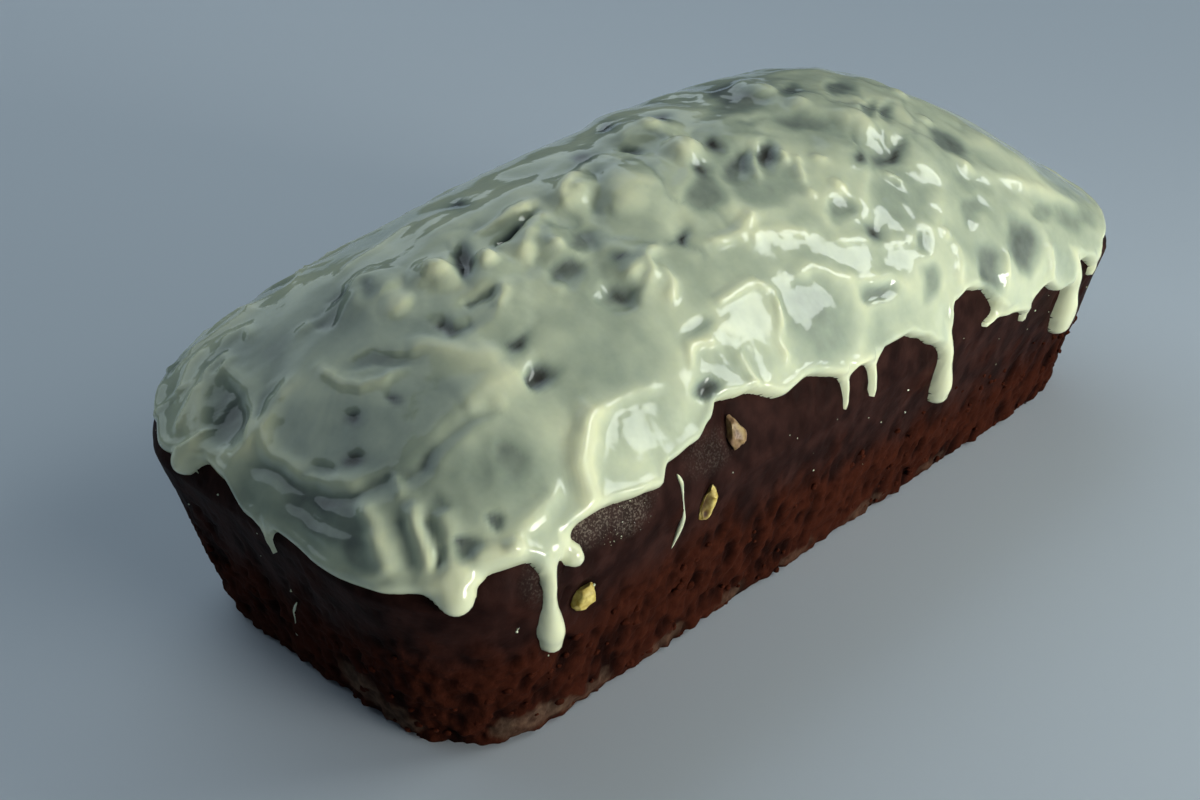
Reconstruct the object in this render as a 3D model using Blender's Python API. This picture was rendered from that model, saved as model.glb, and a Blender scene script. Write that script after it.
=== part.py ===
"""Iced loaf cake: a dark loaf baked in a tapered tin, under a poured coat of pale icing that runs down its sides.

Metres, +Z up. The loaf stands on z = 0 with its length along X, and the origin is under the middle of the iced box.
A place on the cake's skin is (round, up): round is the distance along the tin's rim, 0 at the middle of the front
(-Y) side and growing towards +X, and up runs from 0 at the foot to 1 at the rim and 2 at the ridge of the crown.
"""
import math
import random

import bmesh
import bpy
import numpy as np
from mathutils import Vector, noise

MM = 0.001

# The tin: two rounded rectangles, with the walls straight between them
FOOT = {"near": -0.1113, "far": 0.1154, "half": 0.0450, "corner": 0.0228}
RIM = {"near": -0.1232, "far": 0.1236, "half": 0.0537, "corner": 0.0272}
RIM_HEIGHT = 0.0425
FOOT_ROUND = 0.0020

# The crown that rose above the rim, a little off the middle and lower towards both ends
RIDGE_NEAR, RIDGE_FAR = -0.0784, 0.0579
RIDGE_SIDEWAYS = 0.0060
RIDGE_HEIGHT = 0.0882
RIDGE_PEAK_AT = 0.0197
RIDGE_DROP_NEAR, RIDGE_DROP_FAR = 0.0255, 0.0310
RIDGE_DROP_POWER = 2.2
CROWN_POWER = 1.85
CORNER_SWELL = 0.0190

# Columns of faces round the cake, in each part of the rim, and rows up it
LOAF_COLUMNS = {"side": 26, "corner": 4, "end": 5}
COAT_COLUMNS = {"side": 33, "corner": 5, "end": 8}
LOAF_WALL_ROWS = (0.0, 0.06, 0.26, 0.50, 0.75, 1.0)
LOAF_CROWN_ROWS = 8
COAT_ROWS = 17

# Crumb relief of the bare loaf
CRUMB_RELIEF = 0.0008
CRUMB_SIZE = 0.011

# Icing
GAP = 0.0003
COAT_THICKNESS = 0.0034
LIP_THICKNESS = 0.0020
LIP_WIDTH = 0.0050
COAT_ROOT = 0.0060
SWIRL_RELIEF = 0.0009
SWIRL_SIZE = 0.026
DRIP_SEED = 11

# Lower edge of the icing where the photo shows it: millimetres round, and millimetres above the floor
EDGE_SEEN = [
    (-205, 47), (-198, 45.5), (-186, 48.5), (-176, 47.5), (-165, 44.5), (-156, 45), (-142, 44), (-130, 44.5),
    (-121, 45.5), (-112, 48), (-103, 48.5), (-99, 47), (-93, 50.5), (-84, 51), (-73, 50), (-69, 49.5), (-66, 52.5),
    (-57, 53.5), (-52, 55.5), (-49, 58), (-40, 57), (-30, 53.5), (-22, 54.5), (-10, 51.5), (0, 51), (5, 52),
    (13, 52), (18, 50), (22, 47), (26, 46), (29, 49), (32, 53), (39, 54), (45, 52.5), (49, 47), (53, 44),
    (61, 42), (65, 45), (70, 45.5), (76, 42), (82, 42), (86, 48), (89, 46), (95, 44), (99, 47),
]
# The rest of the edge, which the photo hides
EDGE_HIDDEN_STEP = 11
EDGE_HIDDEN_HEIGHTS = (44, 54)

# Drips that the photo shows: start and tip, each (millimetres round, millimetres up), then widths at neck and bulb
DRIPS_SEEN = [
    ((-190, 54), (-190, 43.6), 8.0, 8.5),
    ((-161, 49), (-160, 35.5), 2.6, 1.8),
    ((-116.5, 55), (-115.5, 42.0), 7.5, 8.0),
    ((-98, 53), (-97.2, 23.4), 4.2, 6.0),
    ((-96, 49), (-89.6, 43.6), 3.4, 3.8),
    ((-9, 56), (-8.6, 42.4), 3.0, 1.8),
    ((1, 56), (1.2, 43), 3.2, 2.2),
    ((26, 53), (32.5, 25.0), 7.0, 5.2),
    ((64, 48), (45, 44.0), 3.4, 2.4),
    ((62, 47), (64, 38.6), 4.0, 2.4),
    ((82, 53), (89, 24.5), 8.5, 8.5),
    ((94, 52), (95.5, 40.6), 5.0, 2.6),
]
DRIP_HIDDEN_STEPS = (22, 46)
DRIP_HIDDEN_LENGTHS = (9, 26)
DRIP_HIDDEN_WIDTHS = (3.0, 8.0)
DRIP_THICKNESS = 0.80
DRIP_SUNK_START, DRIP_SUNK_TIP = 0.45, -0.05
DRIP_SEGMENTS, DRIP_RINGS = 10, 8

# Lumps under the icing along the cracked ridge, and hollows between them:
# millimetres along X and Y, width and height in millimetres
LUMPS = [
    (-87, 9, 13, 3.5), (-77, -1, 10, 4.5), (-69, -8, 9, 4.5), (-73, -16, 12, 3.0), (-57, -6, 11, 4.5),
    (-54, -13, 9, 3.5), (-40, -2, 12, 4.5), (-28, -8, 20, 6.0), (-9, 6, 13, 4.5), (-11, -7, 12, 6.5),
    (-45, -26, 12, 4.0), (-17, -18, 12, 3.5), (6, -7, 14, 3.0), (30, 3, 17, 2.2), (35, -9, 14, 3.0),
    (40, -19, 16, 4.0), (25, -25, 13, 3.0), (48, -30, 16, 3.0), (20, 8, 14, 1.5), (62, -8, 18, 1.5),
    (79, -36, 18, 1.6), (-62, 12, 16, 2.0), (-30, 18, 18, 2.0), (55, 16, 18, 1.5),
]
HOLLOWS = [
    (-51, -28, 12, 2.6), (-31, -24, 7, 2.4), (-58, -2, 8, 2.2), (-76, -14, 7, 2.0), (2, -13, 8, 2.2),
    (40, -27, 9, 2.4), (-78, -33, 12, 2.4), (18, -41, 7, 2.0), (68, -26, 10, 2.2), (-90, 15, 9, 2.0),
    (-116, 20, 16, 1.6), (-112, -10, 22, 1.4), (-45, -46, 12, 1.2), (12, 14, 14, 1.8),
]

# Nut pieces baked into the front wall: round, up, width, height and depth in millimetres
NUTS = [(-88.6, 34.2, 6.0, 6.4, 4.6), (-53.6, 39.8, 3.6, 8.4, 3.4), (-44.4, 51.6, 4.6, 8.2, 3.4)]

CAKE_COLOUR = (0.075, 0.024, 0.016, 1.0)
ICING_COLOUR = (0.55, 0.56, 0.33, 1.0)


def clear_scene():
    for thing in list(bpy.data.objects):
        bpy.data.objects.remove(thing, do_unlink=True)


def material(name, colour, roughness):
    made = bpy.data.materials.new(name)
    made.use_nodes = True
    shader = made.node_tree.nodes["Principled BSDF"]
    shader.inputs["Base Color"].default_value = colour
    shader.inputs["Roughness"].default_value = roughness
    shader.inputs["Metallic"].default_value = 0.0
    return made


def rim_lengths():
    """Lengths of the eight stretches of the rim, from the front side's near end round towards +X."""
    side = RIM["far"] - RIM["near"] - 2 * RIM["corner"]
    end = 2 * (RIM["half"] - RIM["corner"])
    corner = math.pi / 2 * RIM["corner"]
    return [side, corner, end, corner, side, corner, end, corner]


def rim_place(around):
    """Turns a distance round the rim into (part of the length, part of the width, corner angle)."""
    lengths = rim_lengths()
    stops = np.cumsum([0.0] + lengths)
    along = (np.asarray(around, float) + lengths[0] / 2) % stops[-1]
    done = [np.clip((along - stops[k]) / lengths[k], 0.0, 1.0) for k in range(8)]
    length_part = done[0] - done[4]
    width_part = done[2] - done[6]
    angle = -math.pi / 2 + (done[1] + done[3] + done[5] + done[7]) * math.pi / 2
    return length_part, width_part, angle


def rounded_rectangle(place, near, far, half, corner, sideways=0.0):
    length_part, width_part, angle = place
    x = near + corner + length_part * (far - near - 2 * corner) + corner * np.cos(angle)
    y = sideways - (half - corner) + width_part * 2 * (half - corner) + corner * np.sin(angle)
    return x, y


def ridge_height(x):
    beyond = np.clip((x - RIDGE_PEAK_AT) / (RIM["far"] - RIDGE_PEAK_AT), 0, None)
    before = np.clip((RIDGE_PEAK_AT - x) / (RIDGE_PEAK_AT - RIM["near"]), 0, None)
    drop = RIDGE_DROP_FAR * beyond**RIDGE_DROP_POWER + RIDGE_DROP_NEAR * before**RIDGE_DROP_POWER
    return RIDGE_HEIGHT - drop


def skin(around, up):
    """Points of the bare loaf's smooth skin, for arrays of places."""
    around, up = np.broadcast_arrays(np.asarray(around, float), np.asarray(up, float))
    place = rim_place(around)
    wall = np.clip(up, 0, 1)
    tin = {key: FOOT[key] + (RIM[key] - FOOT[key]) * wall for key in FOOT}
    height = RIM_HEIGHT * wall
    foot = np.clip(1 - height / FOOT_ROUND, 0, 1)
    inset = FOOT_ROUND * (1 - np.sqrt(1 - foot**2))
    wall_x, wall_y = rounded_rectangle(
        place, tin["near"] + inset, tin["far"] - inset, tin["half"] - inset, tin["corner"]
    )
    share = np.cos(np.clip(up - 1, 0, 1) * math.pi / 2) ** (2 / CROWN_POWER)
    half = RIM["half"] * share
    crown_x, crown_y = rounded_rectangle(
        place,
        RIDGE_NEAR - (RIDGE_NEAR - RIM["near"]) * share,
        RIDGE_FAR + (RIM["far"] - RIDGE_FAR) * share,
        half,
        np.minimum(RIM["corner"] * share + CORNER_SWELL * share * (1 - share), half),
        RIDGE_SIDEWAYS * (1 - share),
    )
    rise = np.clip(1 - share**CROWN_POWER, 0, 1) ** (1 / CROWN_POWER)
    crown_z = RIM_HEIGHT + (ridge_height(crown_x) - RIM_HEIGHT) * rise
    on_crown = up > 1
    return np.stack(
        [np.where(on_crown, crown_x, wall_x), np.where(on_crown, crown_y, wall_y), np.where(on_crown, crown_z, height)],
        axis=-1,
    )


def outward(around, up):
    """Unit normals of the skin; straight up on the ridge, where the columns meet."""
    step_round, step_up = 0.0008, 0.004
    low, high = np.clip(up - step_up, 0.0, 1.98), np.clip(up + step_up, 0.06, 1.99)
    across = skin(around + step_round, up) - skin(around - step_round, up)
    rising = skin(around, high) - skin(around, low)
    normal = np.cross(across, rising)
    size = np.linalg.norm(normal, axis=-1, keepdims=True)
    on_ridge = np.broadcast_to(np.asarray(up)[..., None] > 1.985, normal.shape)
    return np.where(on_ridge, (0.0, 0.0, 1.0), normal / np.maximum(size, 1e-12))


def up_at_height(around, height):
    """The place up the skin at which each column reaches a height."""
    samples = np.linspace(0.0, 1.95, 300)
    found = []
    for distance, wanted in zip(np.atleast_1d(around), np.atleast_1d(height)):
        found.append(np.interp(wanted, skin(distance, samples)[:, 2], samples))
    return np.array(found)


def column_places(columns):
    """Distances round the rim, evenly spread in each stretch and alike on the front and the back."""
    counts = [columns["side"], columns["corner"], columns["end"], columns["corner"]] * 2
    start = -rim_lengths()[0] / 2
    places = []
    for length, count in zip(rim_lengths(), counts):
        places += [start + length * k / count for k in range(count)]
        start += length
    return np.array(places)


def wrapped_grid(name, points):
    """A grid of points, rows up and columns round, as a mesh that is closed round the cake and open at its foot."""
    rows, columns = points.shape[:2]
    sheet = bmesh.new()
    bmesh.ops.create_grid(sheet, x_segments=columns, y_segments=rows - 1, size=0.5)
    for vertex in sheet.verts:
        column = round((vertex.co.x + 0.5) * columns) % columns
        row = round((vertex.co.y + 0.5) * (rows - 1))
        vertex.co = Vector(points[row, column])
    bmesh.ops.remove_doubles(sheet, verts=sheet.verts, dist=1e-6)
    open_edges = [edge for edge in sheet.edges if edge.is_boundary]
    bmesh.ops.holes_fill(sheet, edges=open_edges, sides=0)
    bmesh.ops.triangulate(sheet, faces=sheet.faces, ngon_method="EAR_CLIP")
    bmesh.ops.recalc_face_normals(sheet, faces=sheet.faces)
    mesh = bpy.data.meshes.new(name)
    sheet.to_mesh(mesh)
    sheet.free()
    return mesh


def new_object(name, mesh, collection, finish=None):
    thing = bpy.data.objects.new(name, mesh)
    if finish:
        mesh.materials.append(finish)
    collection.objects.link(thing)
    return thing


def apply_modifiers(thing):
    bpy.context.view_layer.update()
    evaluated = thing.evaluated_get(bpy.context.evaluated_depsgraph_get())
    thing.modifiers.clear()
    thing.data = bpy.data.meshes.new_from_object(evaluated)


def join_all(thing, bodies, solver="EXACT"):
    """Fuses a collection's bodies to an object, then removes them."""
    union = thing.modifiers.new("fuse", "BOOLEAN")
    union.operation = "UNION"
    union.operand_type = "COLLECTION"
    union.collection = bodies
    union.solver = solver
    apply_modifiers(thing)
    for body in list(bodies.objects):
        bpy.data.objects.remove(body, do_unlink=True)
    bpy.data.collections.remove(bodies)


def crumb_relief(points, normals, up):
    """Shallow dents of torn crumb, which fade out at the foot and above the rim."""
    fade = np.clip(up * 6, 0, 1) * np.clip((1.25 - up) * 2, 0.25, 1)
    depth = np.array([[noise.noise(Vector(p) / CRUMB_SIZE) for p in row] for row in points])
    return points + normals * (CRUMB_RELIEF * fade * depth)[..., None]


def make_loaf(collection, finish):
    places = column_places(LOAF_COLUMNS)
    crown = 1 + np.arange(1, LOAF_CROWN_ROWS + 1) / LOAF_CROWN_ROWS
    rows = np.concatenate([LOAF_WALL_ROWS, crown])
    around, up = np.meshgrid(places, rows)
    points = crumb_relief(skin(around, up), outward(around, up), up)
    points[0, :, 2] = 0.0
    points[-1] = skin(around[-1], up[-1])
    return new_object("loaf", wrapped_grid("loaf", points), collection, finish)


def add_nuts(loaf):
    bodies = bpy.data.collections.new("nuts")
    bpy.context.scene.collection.children.link(bodies)
    for index, (around, height, width, length, depth) in enumerate(NUTS):
        up = up_at_height(around * MM, height * MM)
        place = skin(np.array([around * MM]), up)[0]
        normal = Vector(outward(np.array([around * MM]), up)[0])
        shape = bmesh.new()
        bmesh.ops.create_icosphere(shape, subdivisions=2, radius=0.5)
        mesh = bpy.data.meshes.new(f"nut_{index}")
        shape.to_mesh(mesh)
        shape.free()
        nut = new_object(f"nut_{index}", mesh, bodies)
        nut.scale = (width * MM, length * MM, depth * MM)
        nut.rotation_mode = "QUATERNION"
        nut.rotation_quaternion = normal.to_track_quat("Z", "Y")
        nut.location = place
    join_all(loaf, bodies)


def hidden_edge(chance):
    """Edge points and drips past the part that the photo shows, by a seeded rule."""
    around = EDGE_SEEN[-1][0] + EDGE_HIDDEN_STEP
    last = EDGE_SEEN[0][0] + sum(rim_lengths()) / MM - EDGE_HIDDEN_STEP
    points = []
    while around < last:
        points.append((around, chance.uniform(*EDGE_HIDDEN_HEIGHTS)))
        around += EDGE_HIDDEN_STEP
    drips = []
    around = EDGE_SEEN[-1][0] + chance.uniform(*DRIP_HIDDEN_STEPS)
    while around < last:
        length = chance.uniform(*DRIP_HIDDEN_LENGTHS)
        width = chance.uniform(*DRIP_HIDDEN_WIDTHS)
        tip = around + chance.uniform(-2.5, 2.5)
        drips.append(((around, 54), (tip, 49 - length), width, width * chance.uniform(0.8, 1.25)))
        around += chance.uniform(*DRIP_HIDDEN_STEPS)
    return points, drips


def edge_height(around, edge):
    """Height of the icing's lower edge, eased between its points."""
    whole = sum(rim_lengths()) / MM
    points = sorted((p % whole, height) for p, height in edge)
    points = [(points[-1][0] - whole, points[-1][1])] + points + [(points[0][0] + whole, points[0][1])]
    at, heights = np.array(points).T
    place = np.asarray(around) / MM % whole
    after = np.clip(np.searchsorted(at, place), 1, len(at) - 1)
    part = (place - at[after - 1]) / (at[after] - at[after - 1])
    eased = part * part * (3 - 2 * part)
    return (heights[after - 1] + (heights[after] - heights[after - 1]) * eased) * MM


def top_relief(points):
    """Lumps, hollows and slow swirls of the icing, by place on the cake."""
    x, y = points[..., 0] / MM, points[..., 1] / MM
    relief = np.zeros_like(x)
    for at_x, at_y, width, height in LUMPS:
        relief += height * MM * np.exp(-(((x - at_x) ** 2 + (y - at_y) ** 2) / (width / 2) ** 2) ** 1.3)
    for at_x, at_y, width, depth in HOLLOWS:
        relief -= depth * MM * np.exp(-((x - at_x) ** 2 + (y - at_y) ** 2) / (width / 2) ** 2)
    flat = points.reshape(-1, 3)
    swirl = np.array([noise.noise(Vector(p) / SWIRL_SIZE) for p in flat]).reshape(x.shape)
    return relief + SWIRL_RELIEF * swirl


def make_coat(edge, collection, finish):
    """The coat as a closed cap; its root inside the loaf is cut away later."""
    places = column_places(COAT_COLUMNS)
    start = up_at_height(places, edge_height(places, edge))
    part = np.linspace(0, 1, COAT_ROWS)
    rows = start + (2 - start) * part[:, None]
    around = np.broadcast_to(places, rows.shape)
    points, normals = skin(around, rows), outward(around, rows)
    from_edge = np.linalg.norm(points - points[0], axis=-1)
    lip = LIP_THICKNESS + (COAT_THICKNESS - LIP_THICKNESS) * np.clip(from_edge / (4 * LIP_WIDTH), 0, 1)
    relief = top_relief(points) * np.clip(from_edge / LIP_WIDTH, 0, 1)
    thickness = np.maximum(lip + relief, GAP + 0.0008)
    outer = points + normals * thickness[..., None]
    root = points[:1] - normals[:1] * COAT_ROOT
    return new_object("icing", wrapped_grid("icing", np.concatenate([root, outer])), collection, finish)


def make_drip(index, drip, collection):
    """A run of icing: a sphere drawn out down the wall, thin at its neck and full at its tip."""
    (start, start_height), (tip, tip_height), neck, bulb = drip
    shape = bmesh.new()
    bmesh.ops.create_uvsphere(shape, u_segments=DRIP_SEGMENTS, v_segments=DRIP_RINGS, radius=1.0)
    for vertex in shape.verts:
        down = (1 - vertex.co.z) / 2
        turned = math.atan2(vertex.co.y, vertex.co.x)
        full = down * down * (3 - 2 * down)
        radius = (neck + (bulb - neck) * full) / 2 * MM
        radius *= math.sqrt(max(0.0, 1 - abs(2 * down - 1) ** 4))
        around = np.array([(start + (tip - start) * full) * MM])
        up = up_at_height(around, (start_height + (tip_height - start_height) * down) * MM)
        middle = Vector(skin(around, up)[0])
        normal = Vector(outward(around, up)[0])
        sideways = normal.cross(Vector((0, 0, 1))).normalized()
        sunk = (DRIP_SUNK_START + (DRIP_SUNK_TIP - DRIP_SUNK_START) * full) * radius
        vertex.co = middle + sideways * radius * math.cos(turned)
        vertex.co += normal * (radius * DRIP_THICKNESS * math.sin(turned) - sunk)
    bmesh.ops.recalc_face_normals(shape, faces=shape.faces)
    mesh = bpy.data.meshes.new(f"drip_{index}")
    shape.to_mesh(mesh)
    shape.free()
    new_object(f"drip_{index}", mesh, collection)


def cut_with_loaf(icing, loaf, cutters):
    """Takes the loaf, grown by the gap, out of the icing."""
    grown = new_object("loaf_grown", loaf.data.copy(), cutters)
    swell = grown.modifiers.new("swell", "DISPLACE")
    swell.strength = GAP
    swell.mid_level = 0.0
    grown.hide_render = True
    grown.display_type = "WIRE"
    cut = icing.modifiers.new("rest on loaf", "BOOLEAN")
    cut.operation = "DIFFERENCE"
    cut.solver = "EXACT"
    cut.object = grown


def build():
    clear_scene()
    cake = bpy.data.collections.new("iced_loaf_cake")
    cutters = bpy.data.collections.new("cutters")
    for collection in (cake, cutters):
        bpy.context.scene.collection.children.link(collection)
    loaf = make_loaf(cake, material("dark_crumb", CAKE_COLOUR, 0.85))
    add_nuts(loaf)
    points, drips = hidden_edge(random.Random(DRIP_SEED))
    icing = make_coat(EDGE_SEEN + points, cake, material("pale_icing", ICING_COLOUR, 0.28))
    runs = bpy.data.collections.new("drips")
    bpy.context.scene.collection.children.link(runs)
    for index, drip in enumerate(DRIPS_SEEN + drips):
        make_drip(index, drip, runs)
    join_all(icing, runs)
    cut_with_loaf(icing, loaf, cutters)
    for thing in (loaf, icing):
        thing.data.shade_smooth()
        thing.data.set_sharp_from_angle(angle=math.radians(40))


build()
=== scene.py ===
"""Looks of the iced loaf cake: a dark crumb with nut pieces under a poured, glossy coat of pale icing.

Metres, +Z up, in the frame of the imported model. A place on the cake's skin is (round, up). Round is the
distance along the tin's rim, 0 at the middle of the front (-Y) side and growing towards +X. Up runs from 0 at
the foot to 1 at the rim and 2 at the ridge of the crown.
"""
import itertools
import math
import random

import bmesh
import bpy
import numpy as np
from mathutils import Matrix, Vector, noise
from mathutils.bvhtree import BVHTree


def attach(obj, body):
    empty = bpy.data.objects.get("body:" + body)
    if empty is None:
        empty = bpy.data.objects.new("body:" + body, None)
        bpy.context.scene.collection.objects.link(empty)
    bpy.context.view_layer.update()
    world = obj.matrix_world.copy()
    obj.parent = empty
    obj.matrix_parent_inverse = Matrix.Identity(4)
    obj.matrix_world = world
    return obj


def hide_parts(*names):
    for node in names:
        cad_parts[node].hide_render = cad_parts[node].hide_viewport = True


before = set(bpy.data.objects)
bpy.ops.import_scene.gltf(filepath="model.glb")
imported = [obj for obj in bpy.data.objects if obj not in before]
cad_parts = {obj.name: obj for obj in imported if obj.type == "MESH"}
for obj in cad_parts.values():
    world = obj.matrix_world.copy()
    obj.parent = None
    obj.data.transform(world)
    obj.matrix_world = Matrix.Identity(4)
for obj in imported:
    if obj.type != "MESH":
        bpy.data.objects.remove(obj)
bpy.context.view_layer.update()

MM = 0.001

# The cake's skin, as the model has it
FOOT = {"near": -0.1113, "far": 0.1154, "half": 0.0450, "corner": 0.0228}
RIM = {"near": -0.1232, "far": 0.1236, "half": 0.0537, "corner": 0.0272}
RIM_HEIGHT = 0.0425
FOOT_ROUND = 0.0020
RIDGE_NEAR, RIDGE_FAR = -0.0784, 0.0579
RIDGE_SIDEWAYS = 0.0060
RIDGE_HEIGHT = 0.0882
RIDGE_PEAK_AT = 0.0197
RIDGE_DROP_NEAR, RIDGE_DROP_FAR = 0.0255, 0.0310
RIDGE_DROP_POWER = 2.2
CROWN_POWER = 1.85
CORNER_SWELL = 0.0190

# Lower edge of the icing where the photo shows it: millimetres round, and millimetres above the floor
EDGE_SEEN = [
    (-205, 47), (-198, 45.5), (-186, 48.5), (-176, 47.5), (-165, 44.5), (-156, 45), (-142, 44),
    (-130, 44.5), (-121, 45.5), (-112, 48), (-103, 48.5), (-99, 47), (-93, 50.5), (-84, 51), (-73, 50),
    (-69, 49.5), (-66, 52.5), (-57, 53.5), (-52, 55.5), (-49, 58), (-40, 57), (-30, 53.5), (-22, 54.5),
    (-10, 51.5), (0, 51), (5, 52), (13, 52), (18, 50), (22, 47), (26, 46), (29, 49), (32, 53), (39, 54),
    (45, 52.5), (49, 47), (53, 44), (61, 42), (65, 45), (70, 45.5), (76, 42), (82, 42), (86, 48),
    (89, 46), (95, 44), (99, 47),
]
EDGE_HIDDEN_STEP = 11
EDGE_HIDDEN_HEIGHTS = (44, 54)

# Drips: start and tip, each (millimetres round, millimetres up), then widths at neck and bulb
DRIPS_SEEN = [
    ((-190, 55), (-189, 47.8), 9.0, 9.0),
    ((-161, 50), (-160.6, 38.6), 2.4, 1.2),
    ((-116.5, 55), (-116.0, 46.0), 8.0, 9.2),
    ((-98.2, 53), (-98.0, 28.2), 3.6, 6.6),
    ((-96, 51), (-91.4, 45.8), 3.6, 4.4),
    ((-9, 56), (-9.3, 43.8), 2.8, 1.6),
    ((1, 56), (0.2, 43.2), 3.0, 2.2),
    ((26, 53), (31.4, 30.4), 5.4, 7.0),
    ((64, 48), (45, 44.0), 3.4, 2.4),
    ((62, 47), (64, 38.6), 4.0, 2.4),
    ((83, 53), (88, 29.0), 6.4, 8.6),
    ((94, 52), (95.5, 40.6), 5.0, 2.6),
]
DRIP_SEED = 11
DRIP_HIDDEN_STEPS = (22, 46)
DRIP_HIDDEN_START = 54
DRIP_HIDDEN_EDGE = 49
DRIP_HIDDEN_LENGTHS = (9, 26)
DRIP_HIDDEN_WIDTHS = (3.0, 8.0)
DRIP_HIDDEN_LEANS = (-2.5, 2.5)
DRIP_HIDDEN_BULBS = (0.95, 1.35)
DRIP_NECK = 0.85

# The icing's usual thickness, the width of its rounded lip, its depth in the crumb and the drips' blending in
COAT = 2.7
LIP_WIDTH = 1.7
TUCK = 0.6
BLEND = 1.6

CAMERA_PLACE = (-0.26709, -0.22572, 0.21991)
CAMERA_HEADING, CAMERA_PITCH, CAMERA_ROLL = 43.395, -29.795, 0.655
CAMERA_LENS, SENSOR_WIDTH = 49.59, 36.0
PHOTO_SIZE = (1200, 800)
# Millimetres of the coat that one pixel of the photograph covers
PIXEL_MM = 0.21
# Metres per pixel past which the end of an oval lies on another part of the coat
END_REACH = 0.00125


def rim_lengths():
    """Lengths of the eight stretches of the rim, from the front side's near end round towards +X."""
    side = RIM["far"] - RIM["near"] - 2 * RIM["corner"]
    end = 2 * (RIM["half"] - RIM["corner"])
    corner = math.pi / 2 * RIM["corner"]
    return [side, corner, end, corner, side, corner, end, corner]


RIM_LENGTH = sum(rim_lengths())
RIM_LENGTH_MM = RIM_LENGTH / MM


def rim_place(around):
    """Turns a distance round the rim into (part of the length, part of the width, corner angle)."""
    lengths = rim_lengths()
    stops = np.cumsum([0.0] + lengths)
    along = (np.asarray(around, float) + lengths[0] / 2) % stops[-1]
    done = [np.clip((along - stops[k]) / lengths[k], 0.0, 1.0) for k in range(8)]
    length_part = done[0] - done[4]
    width_part = done[2] - done[6]
    angle = -math.pi / 2 + (done[1] + done[3] + done[5] + done[7]) * math.pi / 2
    return length_part, width_part, angle


def rounded_rectangle(place, near, far, half, corner, sideways=0.0):
    length_part, width_part, angle = place
    x = near + corner + length_part * (far - near - 2 * corner) + corner * np.cos(angle)
    y = sideways - (half - corner) + width_part * 2 * (half - corner) + corner * np.sin(angle)
    return x, y


def ridge_height(x):
    beyond = np.clip((x - RIDGE_PEAK_AT) / (RIM["far"] - RIDGE_PEAK_AT), 0, None)
    before = np.clip((RIDGE_PEAK_AT - x) / (RIDGE_PEAK_AT - RIM["near"]), 0, None)
    drop = RIDGE_DROP_FAR * beyond**RIDGE_DROP_POWER + RIDGE_DROP_NEAR * before**RIDGE_DROP_POWER
    return RIDGE_HEIGHT - drop


def stacked(*parts):
    """Points from their coordinates, each an array or one number."""
    return np.stack(np.broadcast_arrays(*parts), axis=-1)


def skin(around, up):
    """Points of the bare loaf's smooth skin, for arrays of places."""
    around, up = np.broadcast_arrays(np.asarray(around, float), np.asarray(up, float))
    place = rim_place(around)
    wall = np.clip(up, 0, 1)
    tin = {key: FOOT[key] + (RIM[key] - FOOT[key]) * wall for key in FOOT}
    height = RIM_HEIGHT * wall
    foot = np.clip(1 - height / FOOT_ROUND, 0, 1)
    inset = FOOT_ROUND * (1 - np.sqrt(1 - foot**2))
    wall_x, wall_y = rounded_rectangle(
        place, tin["near"] + inset, tin["far"] - inset, tin["half"] - inset, tin["corner"]
    )
    share = np.cos(np.clip(up - 1, 0, 1) * math.pi / 2) ** (2 / CROWN_POWER)
    half = RIM["half"] * share
    crown_x, crown_y = rounded_rectangle(
        place,
        RIDGE_NEAR - (RIDGE_NEAR - RIM["near"]) * share,
        RIDGE_FAR + (RIM["far"] - RIDGE_FAR) * share,
        half,
        np.minimum(RIM["corner"] * share + CORNER_SWELL * share * (1 - share), half),
        RIDGE_SIDEWAYS * (1 - share),
    )
    rise = np.clip(1 - share**CROWN_POWER, 0, 1) ** (1 / CROWN_POWER)
    crown_z = RIM_HEIGHT + (ridge_height(crown_x) - RIM_HEIGHT) * rise
    return np.where((up > 1)[..., None], stacked(crown_x, crown_y, crown_z), stacked(wall_x, wall_y, height))


def outward(around, up):
    """Unit normals of the skin; straight up on the ridge, where the columns meet."""
    step_round, step_up = 0.0008, 0.004
    low = np.clip(up - step_up, 0.0, 1.98)
    high = np.clip(up + step_up, 0.06, 1.99)
    across = skin(around + step_round, up) - skin(around - step_round, up)
    rising = skin(around, high) - skin(around, low)
    normal = np.cross(across, rising)
    size = np.linalg.norm(normal, axis=-1, keepdims=True)
    on_ridge = np.broadcast_to(np.asarray(up)[..., None] > 1.985, normal.shape)
    return np.where(on_ridge, (0.0, 0.0, 1.0), normal / np.maximum(size, 1e-12))


def hidden_edge(chance):
    """Edge points and drips past the part that the photo shows, by a seeded rule."""
    first = EDGE_SEEN[-1][0] + EDGE_HIDDEN_STEP
    last = EDGE_SEEN[0][0] + RIM_LENGTH_MM - EDGE_HIDDEN_STEP
    hidden = range(first, math.ceil(last), EDGE_HIDDEN_STEP)
    points = [(place, chance.uniform(*EDGE_HIDDEN_HEIGHTS)) for place in hidden]
    drips = []
    around = EDGE_SEEN[-1][0] + chance.uniform(*DRIP_HIDDEN_STEPS)
    while around < last:
        length = chance.uniform(*DRIP_HIDDEN_LENGTHS)
        width = chance.uniform(*DRIP_HIDDEN_WIDTHS)
        start = (around, DRIP_HIDDEN_START)
        tip = (around + chance.uniform(*DRIP_HIDDEN_LEANS), DRIP_HIDDEN_EDGE - length)
        drips.append((start, tip, DRIP_NECK * width, width * chance.uniform(*DRIP_HIDDEN_BULBS)))
        around += chance.uniform(*DRIP_HIDDEN_STEPS)
    return points, drips


def ease(low, high, value):
    part = np.clip((value - low) / (high - low), 0, 1)
    return part * part * (3 - 2 * part)


def bell(value):
    """1 at nought, and fading to 0 on both sides of it."""
    return np.exp(-(value**2))


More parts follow.
